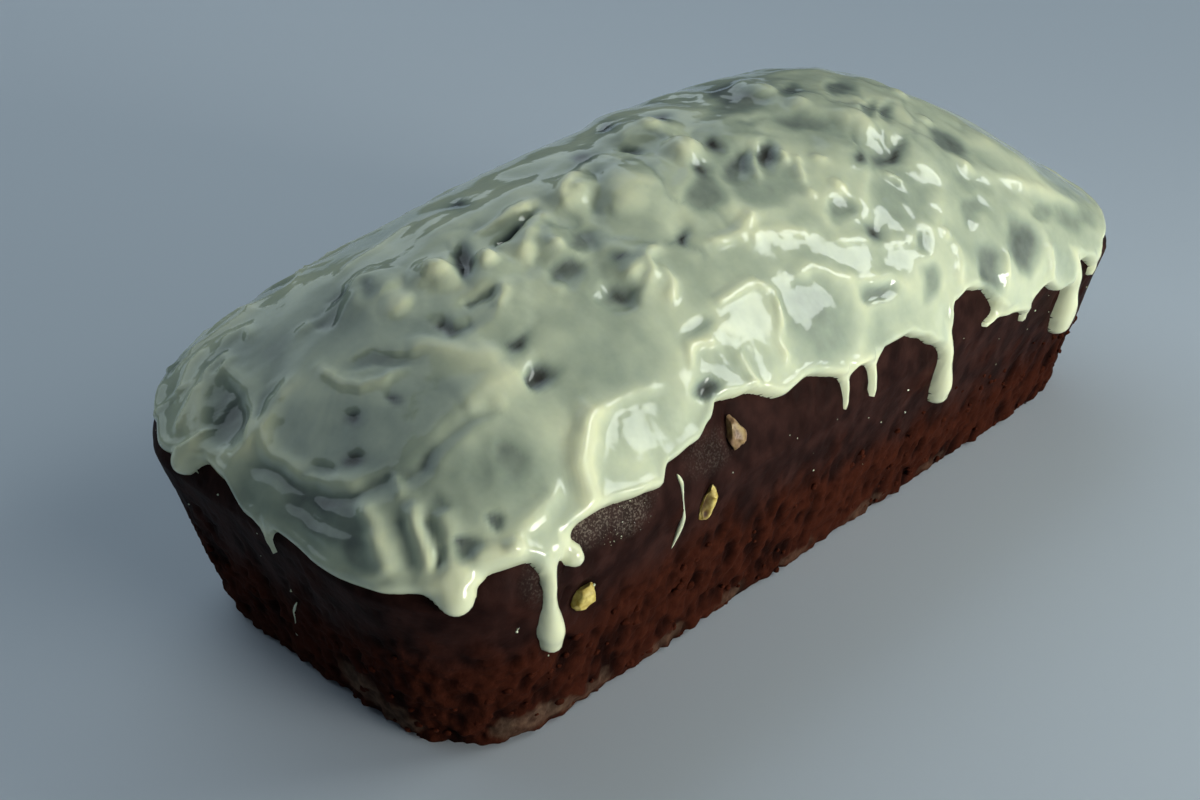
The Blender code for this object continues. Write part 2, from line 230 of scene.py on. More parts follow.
def soft_max(one, other, width):
    """The larger of two fields, rounded where they meet."""
    mix = np.clip(0.5 + 0.5 * (one - other) / width, 0, 1)
    return other + (one - other) * mix + width * mix * (1 - mix)


def gap_round(around, at):
    """Millimetres round the rim from a place, the short way."""
    return (around - at + RIM_LENGTH_MM / 2) % RIM_LENGTH_MM - RIM_LENGTH_MM / 2


def edge_height(around, edge):
    """Height of the icing's lower edge in millimetres, eased between its points."""
    points = sorted((p % RIM_LENGTH_MM, height) for p, height in edge)
    before = (points[-1][0] - RIM_LENGTH_MM, points[-1][1])
    beyond = (points[0][0] + RIM_LENGTH_MM, points[0][1])
    at, heights = np.array([before] + points + [beyond]).T
    place = np.asarray(around) % RIM_LENGTH_MM
    after = np.clip(np.searchsorted(at, place), 1, len(at) - 1)
    eased = ease(at[after - 1], at[after], place)
    return heights[after - 1] + (heights[after] - heights[after - 1]) * eased


def noise_at(points, size, shift=0.0):
    """Smooth noise from -1 to 1 at each point, with lumps of about that size in metres."""
    moved = points.reshape(-1, 3) / size + shift
    return np.array([noise.noise(Vector(p)) for p in moved]).reshape(points.shape[:-1])


def veins(points, size, shift, width):
    """Thin wandering lines: 1 where smooth noise passes through nought, 0 where it is past the width."""
    return np.clip(1 - np.abs(noise_at(points, size, shift)) / width, 0, 1)


def column_places(columns):
    """Distances round the rim, evenly spread in each stretch and alike on the front and the back."""
    counts = [columns["side"], columns["corner"], columns["end"], columns["corner"]] * 2
    start = -rim_lengths()[0] / 2
    places = []
    for length, count in zip(rim_lengths(), counts):
        places += [start + length * k / count for k in range(count)]
        start += length
    return np.array(places)


def grid_quads(rows, columns):
    """Corner numbers of the faces between rows of points that close on themselves."""
    row, column = np.meshgrid(np.arange(rows - 1), np.arange(columns), indexing="ij")
    here, above = row * columns, (row + 1) * columns
    after = (column + 1) % columns
    corners = [here + column, here + after, above + after, above + column]
    return np.stack(corners, axis=-1).reshape(-1, 4)


def mesh_from(name, points, faces):
    mesh = bpy.data.meshes.new(name)
    mesh.from_pydata(points.tolist(), [], faces)
    mesh.update()
    return mesh


def add_attribute(mesh, name, values):
    """Gives each point a value, or all of them the same one."""
    attribute = mesh.attributes.new(name, "FLOAT", "POINT")
    attribute.data.foreach_set("value", np.resize(np.asarray(values, np.float32), len(mesh.vertices)))


def weld(mesh, fill_foot):
    """Drops loose points, merges those that meet on the ridge, and closes the foot if asked."""
    sheet = bmesh.new()
    sheet.from_mesh(mesh)
    loose = [vertex for vertex in sheet.verts if not vertex.link_faces]
    bmesh.ops.delete(sheet, geom=loose, context="VERTS")
    bmesh.ops.remove_doubles(sheet, verts=sheet.verts, dist=2e-5)
    if fill_foot:
        low = [edge for edge in sheet.edges if edge.is_boundary]
        bmesh.ops.holes_fill(sheet, edges=low, sides=0)
    sheet.to_mesh(mesh)
    sheet.free()


def new_object(name, data):
    thing = bpy.data.objects.new(name, data)
    bpy.context.scene.collection.objects.link(thing)
    return thing


def piece(name, mesh, finish):
    """A new object that rides on the cake, with the given finish in a material slot."""
    thing = new_object(name, mesh)
    mesh.materials.append(finish)
    mesh.shade_smooth()
    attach(thing, "root")
    return thing


# Loaf

# Columns round the rim, and rows: close at the foot, even up the wall, and few where the icing hides them
LOAF_COLUMNS = {"side": 260, "corner": 58, "end": 72}
LOAF_ROWS = np.concatenate([
    (0.0, 0.006, 0.016, 0.03),
    np.linspace(0.048, 1.0, 56),
    1 + np.linspace(0.012, 0.30, 24),
    1 + np.linspace(0.36, 1.0, 11),
])
# Heights in metres between which the wall goes under the icing
UNDER_ICING = (0.058, 0.062)
# Ragged lower edge: the most millimetres that it rises, then the metres of wall over which it fades out
# and the rest of the relief fades in
RAGGED_RISE, RAGGED_HEIGHT, FOOT_FADE = 0.9, 0.004, 0.0012
# Metres that the foot is set in on the floor, and that the ridge sinks under the icing
FOOT_INSET, HIDDEN_RIDGE_DROP = 0.0006, 0.0005
# Where the torn crumb ends on the wall: millimetres round and high
TORN_LINE = [
    (-196, 27), (-163, 24), (-146, 27), (-131, 30), (-112, 27), (-88, 26), (-78, 30), (-58, 32),
    (-20, 28), (13, 23), (49, 20), (88, 19), (130, 24), (300, 26), (440, 24),
]
# Rough spots on the smooth band: round, up, half width, half height in millimetres, and how torn
ROUGH_PATCHES = [
    (-75.5, 47, 3.6, 3.4, 0.8), (-46, 53, 4.0, 3.0, 0.3), (-104, 40, 3.0, 5.0, 0.22),
    (-8, 33, 6, 4, 0.35), (-62, 41, 4, 3, 0.35), (22, 37, 7, 4, 0.3), (52, 32, 6, 4, 0.35),
    (-150, 38, 5, 4, 0.3), (70, 26, 8, 5, 0.4),
]
# Pale grains under the coat's edge: round, up, half width, half height in millimetres, and how many
FROST_PATCHES = [
    (-86, 50, 9, 4.2, 1.0), (-76, 48, 6.5, 4.0, 0.9), (-52, 50, 8, 4, 0.25), (-100, 44, 5, 5, 0.25),
]
# Skin left on the foot: round, up, half width, half height in millimetres, and how much of it
SKIN_PATCHES = [
    (-146, 8.5, 7, 4.5, 0.9), (-136, 5.0, 7, 3.2, 0.8), (-107, 4.5, 5, 3.0, 0.7),
    (-101, 5.5, 6, 3.0, 0.8), (-92, 4.5, 6, 2.4, 0.8), (-83, 4.0, 5, 2.0, 0.6), (-62, 3.4, 7, 1.8, 0.5),
    (-39, 3.4, 6, 1.8, 0.5), (-14, 3.2, 7, 1.8, 0.5), (14, 3.4, 8, 2.0, 0.5), (44, 3.2, 7, 1.8, 0.45),
    (214, 5, 12, 4, 0.7), (340, 4, 9, 3, 0.6),
]
# Nut pieces baked into the front wall: round, up, width, height and depth in millimetres
NUTS = [(-88.6, 34.2, 6.0, 6.4, 4.6), (-53.6, 39.8, 3.6, 8.4, 3.4), (-44.4, 51.6, 4.6, 8.2, 3.4)]
# Large, middling and small pits: size of a cell in metres, height for its width, and seed
PIT_KINDS = [(0.0044, 1.7, 1), (0.0025, 1.5, 2), (0.0014, 1.2, 3)]
# Weights that turn a cell's column, row and seed into one number
CELL_CODE = (12.9898, 78.233, 37.719)
# Shifts and factors that scramble that number into a pit's place across, place up, radius and depth
SCRAMBLES = [(0.0, 43758.5453), (1.7, 24634.6345), (4.1, 13758.5453), (8.3, 9758.5453)]


def patch_share(around, height, patches, outer, inner, stray=0.0):
    """The strongest of some oval patches at each point of the wall, fading from inner to outer."""
    best = np.zeros_like(height)
    for at, level, wide, tall, share in patches:
        away = np.hypot(gap_round(around / MM, at) / wide, (height / MM - level) / tall)
        best = np.maximum(best, share * ease(outer, inner, away + stray))
    return best


def torn_share(around, height):
    """How far the tin has torn the skin away: 1 low down, 0 on the smooth band below the icing."""
    low = stacked(around / 0.034, 0.0, 3.1)
    fine = stacked(around / 0.0060, height / 0.011, 8.4)
    places, levels = np.array(TORN_LINE, float).T
    line = np.interp(around / MM, places, levels, period=RIM_LENGTH_MM)
    border = line + noise_at(low, 1.0) + 6.0 * noise_at(fine, 1.0)
    torn = ease(8.0, -6.0, height / MM - border)
    return np.maximum(torn, patch_share(around, height, ROUGH_PATCHES, 1.3, 0.3, 0.3 * noise_at(fine, 0.5)))


def pits(around, height, size, tall, seed):
    """Round-bottomed pits from 0 to 1 on a jittered grid of cells; a share of the cells stay shut."""
    count = int(round(RIM_LENGTH / size))
    across = (around % RIM_LENGTH) / RIM_LENGTH * count
    up = height / (size * tall)
    best = np.zeros_like(across)
    for step_across, step_up in itertools.product((-1, 0, 1), repeat=2):
        column = np.floor(across) + step_across
        row = np.floor(up) + step_up
        code = (column % count) * CELL_CODE[0] + row * CELL_CODE[1] + seed * CELL_CODE[2]
        scrambled = [np.modf(np.abs(np.sin(code + shift) * factor))[0] for shift, factor in SCRAMBLES]
        jitter_across, jitter_up, radius, depth = scrambled
        away = np.hypot(across - column - jitter_across, up - row - jitter_up) / (0.32 + 0.5 * radius)
        best = np.maximum(best, np.clip(1 - away**2, 0, 1) * ease(0.25, 0.95, depth))
    return best


def crumb_surface(around, base):
    """Millimetres that the crumb stands out of the smooth skin, and the shares that its finish follows."""
    height = base[..., 2]
    lumps = noise_at(base, 0.011)
    grain = noise_at(base, 0.0035, 5.0)
    fine = noise_at(base, 0.0016, 9.0)
    wash = noise_at(base, 0.02, 2.0)
    stray = noise_at(base, 0.0042, 13.0)
    bent_around = around + 0.0011 * grain + 0.0004 * fine
    bent_height = height + 0.0013 * stray + 0.0005 * fine
    large, middle, small = [pits(bent_around, bent_height, *kind) for kind in PIT_KINDS]
    torn = torn_share(around, height)
    rough = 0.4 * lumps + 0.6 * grain + 0.45 * fine - 0.8 * large - 0.65 * middle - 0.3 * small + 0.4
    smooth = 0.35 * lumps + 0.10 * grain + 0.05 * fine - 0.45 * small * ease(0.0, 0.5, wash)
    smooth = smooth - 0.45 * middle * ease(0.1, 0.5, stray + wash)
    left_skin = patch_share(bent_around, bent_height, SKIN_PATCHES, 1.25, 0.6, 0.4 * grain + 0.2 * stray)
    frost = patch_share(bent_around, bent_height, FROST_PATCHES, 1.3, 0.3, 0.3 * stray)
    sockets = [(at, level, wide / 2, tall / 2, 1.0) for at, level, wide, tall, _ in NUTS]
    socket = patch_share(around, height, sockets, 1.55, 1.0)
    under = ease(*UNDER_ICING, height)
    depth = (rough * torn + smooth * (1 - torn)) * (1 - under) - 0.5 * under
    depth = depth + (0.25 + 0.3 * rough - depth) * left_skin * 0.8 - 0.7 * socket + 0.2 * frost * fine
    shares = {
        "torn": torn * (1 - under),
        # Painted shade: this share darkens the finish in the pits and round the nuts' sockets
        "pit_shade": np.clip(large + 0.6 * middle + 0.3 * small + 0.8 * socket, 0, 1),
        "grain": 0.5 + 0.5 * np.clip(grain * 0.8 + lumps * 0.5, -1, 1),
        "skin": left_skin,
        "frost": frost * (1 - under),
    }
    return depth, shares


def make_loaf():
    around, up = np.meshgrid(column_places(LOAF_COLUMNS), LOAF_ROWS)
    base, normals = skin(around, up), outward(around, up)
    height = base[..., 2]
    depth, shares = crumb_surface(around, base)
    foot = np.clip(height / FOOT_FADE, 0, 1)
    points = base + normals * (depth * foot * MM)[..., None]
    flat = base * (1, 1, 0)
    ragged = RAGGED_RISE * MM * np.clip(noise_at(flat, 0.0052, 4.0) + 0.25 * noise_at(flat, 0.0021), 0, 1)
    points[..., 2] += ragged * np.clip(1 - height / RAGGED_HEIGHT, 0, 1)
    points[0] = base[0] - normals[0] * (1, 1, 0) * FOOT_INSET
    points[0, :, 2] = 0.0
    points[-1] = base[-1] - (0, 0, HIDDEN_RIDGE_DROP)
    mesh = mesh_from("loaf_body", points.reshape(-1, 3), grid_quads(*up.shape).tolist())
    for name, values in shares.items():
        add_attribute(mesh, name, values)
    weld(mesh, fill_foot=True)
    return mesh


# Icing

ICING_COLUMNS = {"side": 240, "corner": 53, "end": 66}
ICING_ROWS = np.concatenate([np.linspace(18.0, 42.0, 31) * MM / RIM_HEIGHT, 1 + np.linspace(0.01, 1.0, 100)])
# Millimetres above the skin of the face on which the places seen in the photograph are looked up
FACE_LIFT = 4
# Shares of the windows' depth, the ridges' and knobs' height and the lumps that the surface itself takes
WINDOW_SHARE, RIDGE_SHARE, KNOB_SHARE, LUMP_SHARE = 0.36, 0.8, 0.62, 0.38
# How square-shouldered the lumps are, and the millimetres that the surface sinks in a hole
LUMP_POWER, HOLE_DEPTH = 1.8, 0.36
# Bounds of the tint and of the coat, in millimetres; the drips' least tint lies past their thickness, a
# painted glow for light shining through them
LEAST_TINT, HOLE_TINT, DRIP_GLOW_TINT = 0.1, 0.45, 3.8
LEAST_COAT, MOST_DRIP = 0.25, 3.9

# Bounds of the crest and the back slope, from where each fades in to where it is whole: millimetres in x or y
CREST_FRONT, CREST_NEAR, CREST_FAR = (-40, -24), (-86, -66), (88, 66)
BACK_SLOPE_FAR, BACK_SLOPE_FOOT = (20, -5), (46, 36)
# Bounds of what the photo doesn't show: the far end in x and in parts of the way up, and the back's most y
FAR_END, FAR_END_UP, LAST_SEEN_Y = (104, 116), (1.5, 1.3), 40

# Broad relief of the coat over the crumb: x, y, width and height or depth in millimetres
LUMPS = [
    (-87, 9, 13, 3.5), (-77, -1, 10, 4.5), (-69, -8, 9, 4.5), (-73, -16, 12, 3.0), (-57, -6, 11, 4.5),
    (-54, -13, 9, 3.5), (-40, -2, 12, 4.5), (-28, -8, 20, 6.0), (-9, 6, 13, 4.5), (-11, -7, 12, 6.5),
    (-45, -26, 12, 4.0), (-17, -18, 12, 3.5), (6, -7, 14, 3.0), (30, 3, 17, 2.2), (35, -9, 14, 3.0),
    (40, -19, 16, 4.0), (25, -25, 13, 3.0), (48, -30, 16, 3.0), (20, 8, 14, 1.5), (62, -8, 18, 1.5),
    (79, -36, 18, 1.6), (-62, 12, 16, 2.0), (-30, 18, 18, 2.0), (55, 16, 18, 1.5),
]
HOLLOWS = [
    (-51, -28, 12, 2.6), (-31, -24, 7, 2.4), (-58, -2, 8, 2.2), (-76, -14, 7, 2.0), (2, -13, 8, 2.2),
    (40, -27, 9, 2.4), (-78, -33, 12, 2.4), (18, -41, 7, 2.0), (68, -26, 10, 2.2), (-90, 15, 9, 2.0),
    (-116, 20, 16, 1.6), (-112, -10, 22, 1.4), (-45, -46, 12, 1.2), (12, 14, 14, 1.8),
]

# Places below are photograph pixels, 1200 by 800, and land on the coat where the camera sees them.
# Thin windows, whose floors set the tint: some floors are darker as painted shade in a hollow, and those of
# the pools are lighter as painted highlights. Centre, half width and half height in pixels, tilt, then floor
# and lip in millimetres
THIN_WINDOWS_AND_PAINTED_LIGHT = [
    (218, 413, 25, 42, 8, 1.7, 1.0), (219, 413, 15, 30, 8, 1.3, 0.0), (323, 311, 16, 12, -30, 1.1, 0.0),
    (365, 289, 9, 11, 0, 1.3, 0.5), (353, 437, 44, 26, -10, 1.9, 0.0), (319, 468, 16, 8, -10, 1.2, 0.0),
    (515, 456, 19, 18, 0, 1.4, 0.0), (479, 464, 14, 16, 0, 1.9, 0.0), (542, 368, 20, 14, -15, 0.7, 0.2),
    (380, 353, 38, 7, -2, 1.4, 0.2), (461, 257, 12, 16, 0, 0.5, 0.2), (568, 268, 14, 18, 0, 0.9, 0.0),
    (587, 233, 19, 11, -15, 1.2, 0.0), (622, 290, 19, 15, 0, 0.8, 0.2), (706, 188, 18, 20, 0, 1.3, 0.2),
    (739, 160, 13, 17, 20, 0.8, 0.1), (767, 149, 10, 14, 0, 0.7, 0.1), (722, 84, 18, 10, -10, 0.9, 0.1),
    (738, 95, 32, 11, -15, 1.1, 0.1), (793, 86, 9, 8, 0, 1.0, 0.1), (842, 83, 15, 9, 5, 1.1, 0.1),
    (870, 106, 9, 11, 10, 1.2, 0.1), (889, 110, 8, 11, 10, 1.2, 0.1), (848, 207, 16, 13, 0, 1.3, 0.3),
    (906, 195, 31, 31, 0, 1.85, 0.5), (952, 135, 24, 10, 38, 1.0, 0.1), (977, 207, 14, 13, 0, 1.5, 0.1),
    (995, 272, 11, 28, -8, 1.1, 0.4), (1029, 242, 15, 28, -12, 1.0, 0.4), (934, 280, 10, 19, 5, 1.6, 0.1),
    (926, 241, 8, 12, 0, 1.5, 0.1), (1081, 213, 19, 13, 20, 1.5, 0.1), (1047, 210, 10, 9, 0, 1.6, 0.1),
    (824, 318, 34, 47, -22, 1.6, 0.5), (882, 290, 20, 11, 5, 1.1, 0.4), (732, 366, 38, 28, -10, 2.2, 0.3),
    (712, 387, 14, 11, 10, 0.8, 0.0), (262, 397, 12, 17, 45, 1.6, 0.0), (640, 415, 46, 30, -35, 2.4, 0.2),
    (466, 546, 15, 13, 0, 1.0, 0.0), (494, 516, 9, 9, 0, 1.0, 0.0), (438, 502, 9, 12, 0, 1.7, 0.0),
    (312, 512, 34, 12, 25, 1.4, 0.0), (290, 540, 30, 12, 35, 1.8, 0.0), (805, 116, 28, 8, 3, 1.3, 0.1),
    (700, 330, 20, 10, -25, 1.9, 0.2), (604, 292, 40, 34, 0, 2.2, 0.0), (520, 330, 34, 26, -20, 2.2, 0.0),
    (770, 178, 34, 22, -10, 1.8, 0.0), (430, 318, 40, 16, 0, 1.7, 0.0),
]
# Places where the crumb shows or nearly shows: centre, half sizes in pixels, tilt
HOLES = [
    (345, 452, 9, 6, -10), (347, 415, 7, 5, 0), (391, 394, 8, 6, 0), (547, 368, 9, 7, 0),
    (530, 372, 6, 5, 0), (582, 152, 10, 6, -30), (607, 120, 8, 5, 0), (703, 167, 10, 7, 0),
    (716, 139, 8, 7, 0), (622, 252, 10, 5, 0), (681, 233, 8, 5, -40), (880, 231, 9, 6, 25),
    (894, 150, 16, 7, -38), (857, 158, 6, 6, 0), (333, 289, 12, 6, -35), (455, 194, 10, 5, 0),
    (461, 254, 10, 15, 0), (518, 338, 13, 6, -42), (712, 385, 8, 6, 10), (767, 149, 6, 7, 0),
    (622, 288, 11, 8, 0), (660, 112, 9, 5, 0), (455, 540, 6, 5, 0),
]
# Ridges, or grooves where the height is negative: height, half width in millimetres, then the line
RIDGES = [
    (1.1, 1.3, [(196, 376), (202, 363), (219, 347), (224, 353), (213, 368)]),
    (1.0, 1.3, [(210, 337), (239, 322), (246, 332)]),
    (1.0, 1.6, [(202, 339), (184, 358), (170, 392)]),
    (1.2, 1.6, [(194, 376), (180, 402), (170, 432)]),
    (0.7, 0.9, [(223, 390), (212, 402), (206, 417)]),
    (1.1, 2.0, [(291, 378), (270, 398), (259, 428), (264, 453),
     (283, 466), (307, 477), (346, 479), (372, 474)]),
    (-1.1, 2.0, [(242, 452), (257, 461), (283, 478), (314, 489), (349, 491), (378, 481), (401, 472)]),
    (0.8, 3.4, [(430, 468), (447, 443), (474, 424), (500, 408)]),
    (-1.0, 2.0, [(412, 474), (429, 449), (454, 427), (483, 411), (498, 403)]),
    (0.9, 3.4, [(455, 400), (485, 385), (518, 362)]),
    (1.0, 1.1, [(315, 361), (332, 374), (359, 380), (386, 373), (402, 362)]),
    (0.7, 1.6, [(289, 338), (292, 326), (317, 309), (333, 294), (349, 282), (368, 270)]),
    (0.6, 1.4, [(330, 270), (349, 256), (377, 237), (405, 215)]),
    (1.2, 1.2, [(474, 232), (492, 219), (512, 205), (530, 197)]),
    (-3.2, 1.1, [(494, 239), (504, 231), (518, 219), (533, 206)]),
    (-1.6, 1.2, [(619, 141), (630, 144), (641, 150)]),
    (-1.3, 1.3, [(432, 314), (442, 318), (451, 324), (463, 320), (476, 316)]),
    (-1.3, 1.3, [(463, 303), (480, 296), (497, 288)]),
    (-0.9, 1.6, [(597, 166), (598, 188), (596, 212)]),
    (0.9, 1.0, [(648, 256), (651, 270), (648, 284)]),
    (1.1, 1.4, [(505, 282), (501, 294), (497, 306)]),
    (0.8, 2.5, [(400, 340), (430, 342), (470, 352), (505, 356)]),
    (1.0, 1.6, [(206, 370), (222, 364), (238, 384), (246, 412), (243, 440),
     (228, 456), (208, 448), (194, 422), (193, 396), (202, 376)]),
    (1.0, 1.6, [(520, 259), (523, 241), (535, 226)]),
    (1.4, 1.8, [(558, 203), (568, 182), (589, 157)]),
    (0.9, 1.4, [(558, 204), (572, 200), (584, 188)]),
    (1.7, 1.5, [(624, 279), (637, 264), (663, 239)]),
    (1.0, 1.3, [(668, 262), (672, 278), (668, 300)]),
    (1.2, 1.8, [(709, 239), (739, 231), (757, 208)]),
    (1.0, 2.0, [(752, 240), (762, 230), (790, 228), (814, 230)]),
    (1.1, 1.4, [(716, 302), (735, 290), (757, 279), (775, 287)]),
    (1.3, 1.1, [(780, 293), (783, 315), (786, 340), (790, 362)]),
    (0.8, 1.8, [(797, 276), (812, 262), (840, 276), (862, 280)]),
    (0.6, 1.6, [(862, 279), (895, 274), (912, 290)]),
    (0.7, 1.6, [(830, 236), (866, 238), (903, 240)]),
    (1.0, 1.3, [(694, 368), (695, 346), (720, 341)]),
    (1.2, 1.3, [(738, 348), (750, 365), (762, 384)]),
    (1.0, 1.2, [(756, 150), (758, 162), (760, 174)]),
    (1.0, 1.2, [(781, 146), (785, 153), (788, 160)]),
    (1.2, 1.4, [(799, 152), (801, 166), (803, 180)]),
    (0.9, 1.2, [(815, 152), (823, 157), (831, 161)]),
    (1.2, 1.2, [(888, 170), (898, 174), (907, 180)]),
    (0.9, 2.6, [(940, 152), (977, 165), (1007, 174), (1047, 190), (1090, 207)]),
    (0.9, 1.4, [(1010, 250), (1011, 264), (1010, 280)]),
    (0.8, 1.6, [(960, 240), (966, 262), (962, 285)]),
    (1.1, 1.8, [(1052, 240), (1056, 262), (1055, 284)]),
    (1.5, 1.9, [(361, 496), (368, 520), (376, 550), (390, 578)]),
    (0.9, 1.1, [(390, 472), (394, 482), (399, 495)]),
    (1.3, 1.6, [(408, 496), (413, 522), (421, 550), (432, 574)]),
    (-0.9, 1.4, [(396, 512), (402, 540), (408, 572)]),
    (-1.2, 1.3, [(425, 514), (433, 540), (439, 570)]),
    (0.7, 1.8, [(441, 506), (448, 524), (453, 542)]),
    (2.3, 3.2, [(597, 394), (588, 416), (583, 440), (582, 466), (590, 492), (606, 500)]),
    (-0.5, 2.0, [(570, 420), (567, 446), (566, 472), (572, 494)]),
    (0.8, 1.6, [(596, 410), (618, 396), (642, 386), (665, 382)]),
    (0.9, 1.8, [(500, 552), (520, 530), (545, 505), (560, 480)]),
    (1.0, 1.8, [(470, 556), (500, 545), (530, 548)]),
    (-0.8, 1.4, [(330, 575), (375, 583), (420, 585)]),
]
# Knobs, or dents where the height is negative: centre and radius in pixels, height in millimetres
KNOBS = [
    (219, 412, 26, -0.35), (434, 269, 15, 2.7), (486, 260, 13, 2.7), (557, 242, 9, 1.6),
    (606, 155, 17, 1.0), (630, 190, 32, 1.1), (540, 214, 11, 0.8), (650, 124, 12, 1.4),
    (681, 147, 20, 2.0), (762, 86, 16, 1.6), (800, 100, 12, 1.2), (857, 122, 21, 1.7),
    (840, 182, 10, 1.1), (811, 190, 9, 0.8), (949, 231, 9, 1.1), (395, 300, 16, 1.2), (515, 545, 10, 1.6),
    (560, 282, 10, 0.8), (740, 205, 18, 0.9), (900, 90, 12, 1.0), (930, 115, 10, 1.0),
    (970, 165, 12, 0.9), (500, 400, 10, 0.6),
]
# Tint alone, where the coat is thin over a level crumb and also as painted shade: spots darkened in shaded
# hollows, on the dim left of the top and on the brightly lit right of the top: centre, half sizes, tilt,
# seeming thickness
THIN_AND_SHADED_SPOTS = [
    (490, 470, 75, 60, 0, 2.1), (430, 400, 60, 30, -10, 2.2), (600, 350, 80, 70, 0, 2.35),
    (870, 250, 75, 34, -8, 2.2), (1040, 228, 62, 44, 10, 2.15), (330, 300, 95, 32, -40, 2.0),
    (340, 430, 85, 42, 10, 1.85), (235, 360, 40, 50, 35, 1.9), (260, 490, 60, 30, 30, 1.9),
    (328, 520, 44, 26, 25, 1.35), (362, 556, 30, 18, 25, 1.6), (740, 175, 50, 36, -10, 2.0),
    (880, 130, 60, 25, 15, 2.3),
]


def camera_turn():
    turn = Matrix.Rotation(math.radians(CAMERA_HEADING - 90), 3, "Z")
    tilt = Matrix.Rotation(math.radians(90 + CAMERA_PITCH), 3, "X")
    roll = Matrix.Rotation(math.radians(CAMERA_ROLL), 3, "Z")
    return turn @ tilt @ roll


class Seen:
    """Finds the places on a surface that lie behind pixels of the photograph."""

    def __init__(self, face):
        self.tree = BVHTree.FromPolygons(face.reshape(-1, 3).tolist(), grid_quads(*face.shape[:2]).tolist())
        self.start = Vector(CAMERA_PLACE)
        self.turn = camera_turn()
        self.focal = CAMERA_LENS / SENSOR_WIDTH * PHOTO_SIZE[0]

    def place(self, across, down):
        """The place behind a pixel and the width of a pixel there, or nothing where the ray misses."""
        ray = Vector((across - PHOTO_SIZE[0] / 2, PHOTO_SIZE[1] / 2 - down, -self.focal)).normalized()
        hit, _, _, away = self.tree.ray_cast(self.start, self.turn @ ray)
        return (np.array(hit), away / self.focal) if hit is not None else (None, None)

    def line(self, pixels):
        found = [self.place(*pixel)[0] for pixel in pixels]
        return [place for place in found if place is not None]

    def half_axis(self, centre, across, down, size, angle):
        """The way on the surface that an oval's half axis takes, from whichever of its ends are near."""
        ends = []
        for sign in (1, -1):
            end, _ = self.place(across + sign * size * math.cos(angle), down + sign * size * math.sin(angle))
            if end is not None and np.linalg.norm(end - centre) < size * END_REACH:
                ends.append(sign * (end - centre))
        return sum(ends) / len(ends) if ends else None

    def oval(self, face, across, down, half_wide, half_tall, tilt):
        """How far out each point is from an oval seen in the photograph: 1 on its rim."""
        centre, _ = self.place(across, down)
        if centre is None:
            return None
        angle = math.radians(tilt)
        wide = self.half_axis(centre, across, down, half_wide, angle)
        tall = self.half_axis(centre, across, down, half_tall, angle + math.pi / 2)
        if wide is None or tall is None:
            return None
        deep = np.cross(wide, tall)
        deep = deep / np.sqrt(np.linalg.norm(deep))
        shares = (face - centre) @ np.linalg.inv(np.stack([wide, tall, deep], axis=1)).T
        shares[..., 2] *= 0.5
        return np.linalg.norm(shares, axis=-1)

    def ovals(self, face, rows):
        """For each row of a list of ovals that the camera sees: how far out the points are, and the row."""
        for row in rows:
            away = self.oval(face, *row[:5])
            if away is not None:
                yield away, row


def length_to_line(points, line):
    """Distance in millimetres to a line of places, and how far along it the nearest point lies, 0 to 1."""
    corners = np.array(line, float) / MM
    steps = np.linalg.norm(np.diff(corners, axis=0), axis=1)
    done = np.concatenate([[0], np.cumsum(steps)]) / steps.sum()
    best = np.full(points.shape[:-1], np.inf)
    along = np.zeros(points.shape[:-1])
    flat = points / MM
    for k in range(len(corners) - 1):
        way = corners[k + 1] - corners[k]
        part = np.clip(((flat - corners[k]) @ way) / (way @ way), 0, 1)
        away = np.linalg.norm(flat - corners[k] - part[..., None] * way, axis=-1)
        nearer = away < best
        best = np.where(nearer, away, best)
        along = np.where(nearer, done[k] + part * (done[k + 1] - done[k]), along)
    return best, along


def drip_field(around, height, drip):
    """Millimetres inside a drip's outline, and its half width there."""
    start, tip, neck, bulb = drip
    way = np.array(tip, float) - start
    u = gap_round(around, start[0])
    v = height - start[1]
    part = np.clip((u * way[0] + v * way[1]) / (way @ way), 0, 1)
    half = neck / 2 + (bulb - neck) / 2 * ease(0.5, 0.85, part)
    half = half * (1 - 0.16 * np.sin(part * math.pi) ** 2 - 0.16 * ease(0.86, 1.0, part))
    return half - np.hypot(u - part * way[0], v - part * way[1]), half


def edge_field(around, height, edge, columns):
    """Millimetres inside the coat's lower edge, measured square to it."""
    reach = 14
    level = edge_height(columns, edge)
    inside = height - level[None, :]
    best = np.full(height.shape, np.inf)
    count = len(columns)
    for shift in range(-reach, reach):
        a = (np.arange(count) + shift) % count
        b = (a + 1) % count
        du = gap_round(columns[a], columns)
        wide = gap_round(columns[b], columns[a])
        rise = level[b] - level[a]
        part = np.clip((-du * wide + (height - level[a]) * rise) / (wide**2 + rise**2), 0, 1)
        away = np.hypot(du + part * wide, level[a] + part * rise - height)
        best = np.minimum(best, away)
    return np.where(inside > 0, best, -best)


def coat_outline(around, height, columns):
    """Millimetres inside the coat's outline, the drips' share of each point, and their half width there."""
    hidden_points, hidden_drips = hidden_edge(random.Random(DRIP_SEED))
    edge_inside = edge_field(around, height, EDGE_SEEN + hidden_points, columns)
    inside = edge_inside
    drip_half = np.full(inside.shape, LIP_WIDTH)
    drip_share = np.zeros(inside.shape)
    for drip in DRIPS_SEEN + hidden_drips:
        field, half = drip_field(around, height, drip)
        here = np.clip(0.5 + (field - edge_inside) / 3.0, 0, 1) * (field > -4)
        drip_half = np.where(here > drip_share, half, drip_half)
        drip_share = np.maximum(here, drip_share)
        inside = soft_max(inside, field, 2 * BLEND)
    return inside, drip_share, drip_half


def broad_relief(points):
    """Lumps and hollows of the coat in millimetres, by place on the cake."""
    x, y = points[..., 0] / MM, points[..., 1] / MM
    relief = np.zeros_like(x)
    for rows, sign, power in ((LUMPS, 1, LUMP_POWER), (HOLLOWS, -1, 1)):
        for at_x, at_y, width, height in rows:
            away = ((x - at_x) ** 2 + (y - at_y) ** 2) / (width / 2) ** 2
            relief += sign * height * np.exp(-(away**power))
    return relief


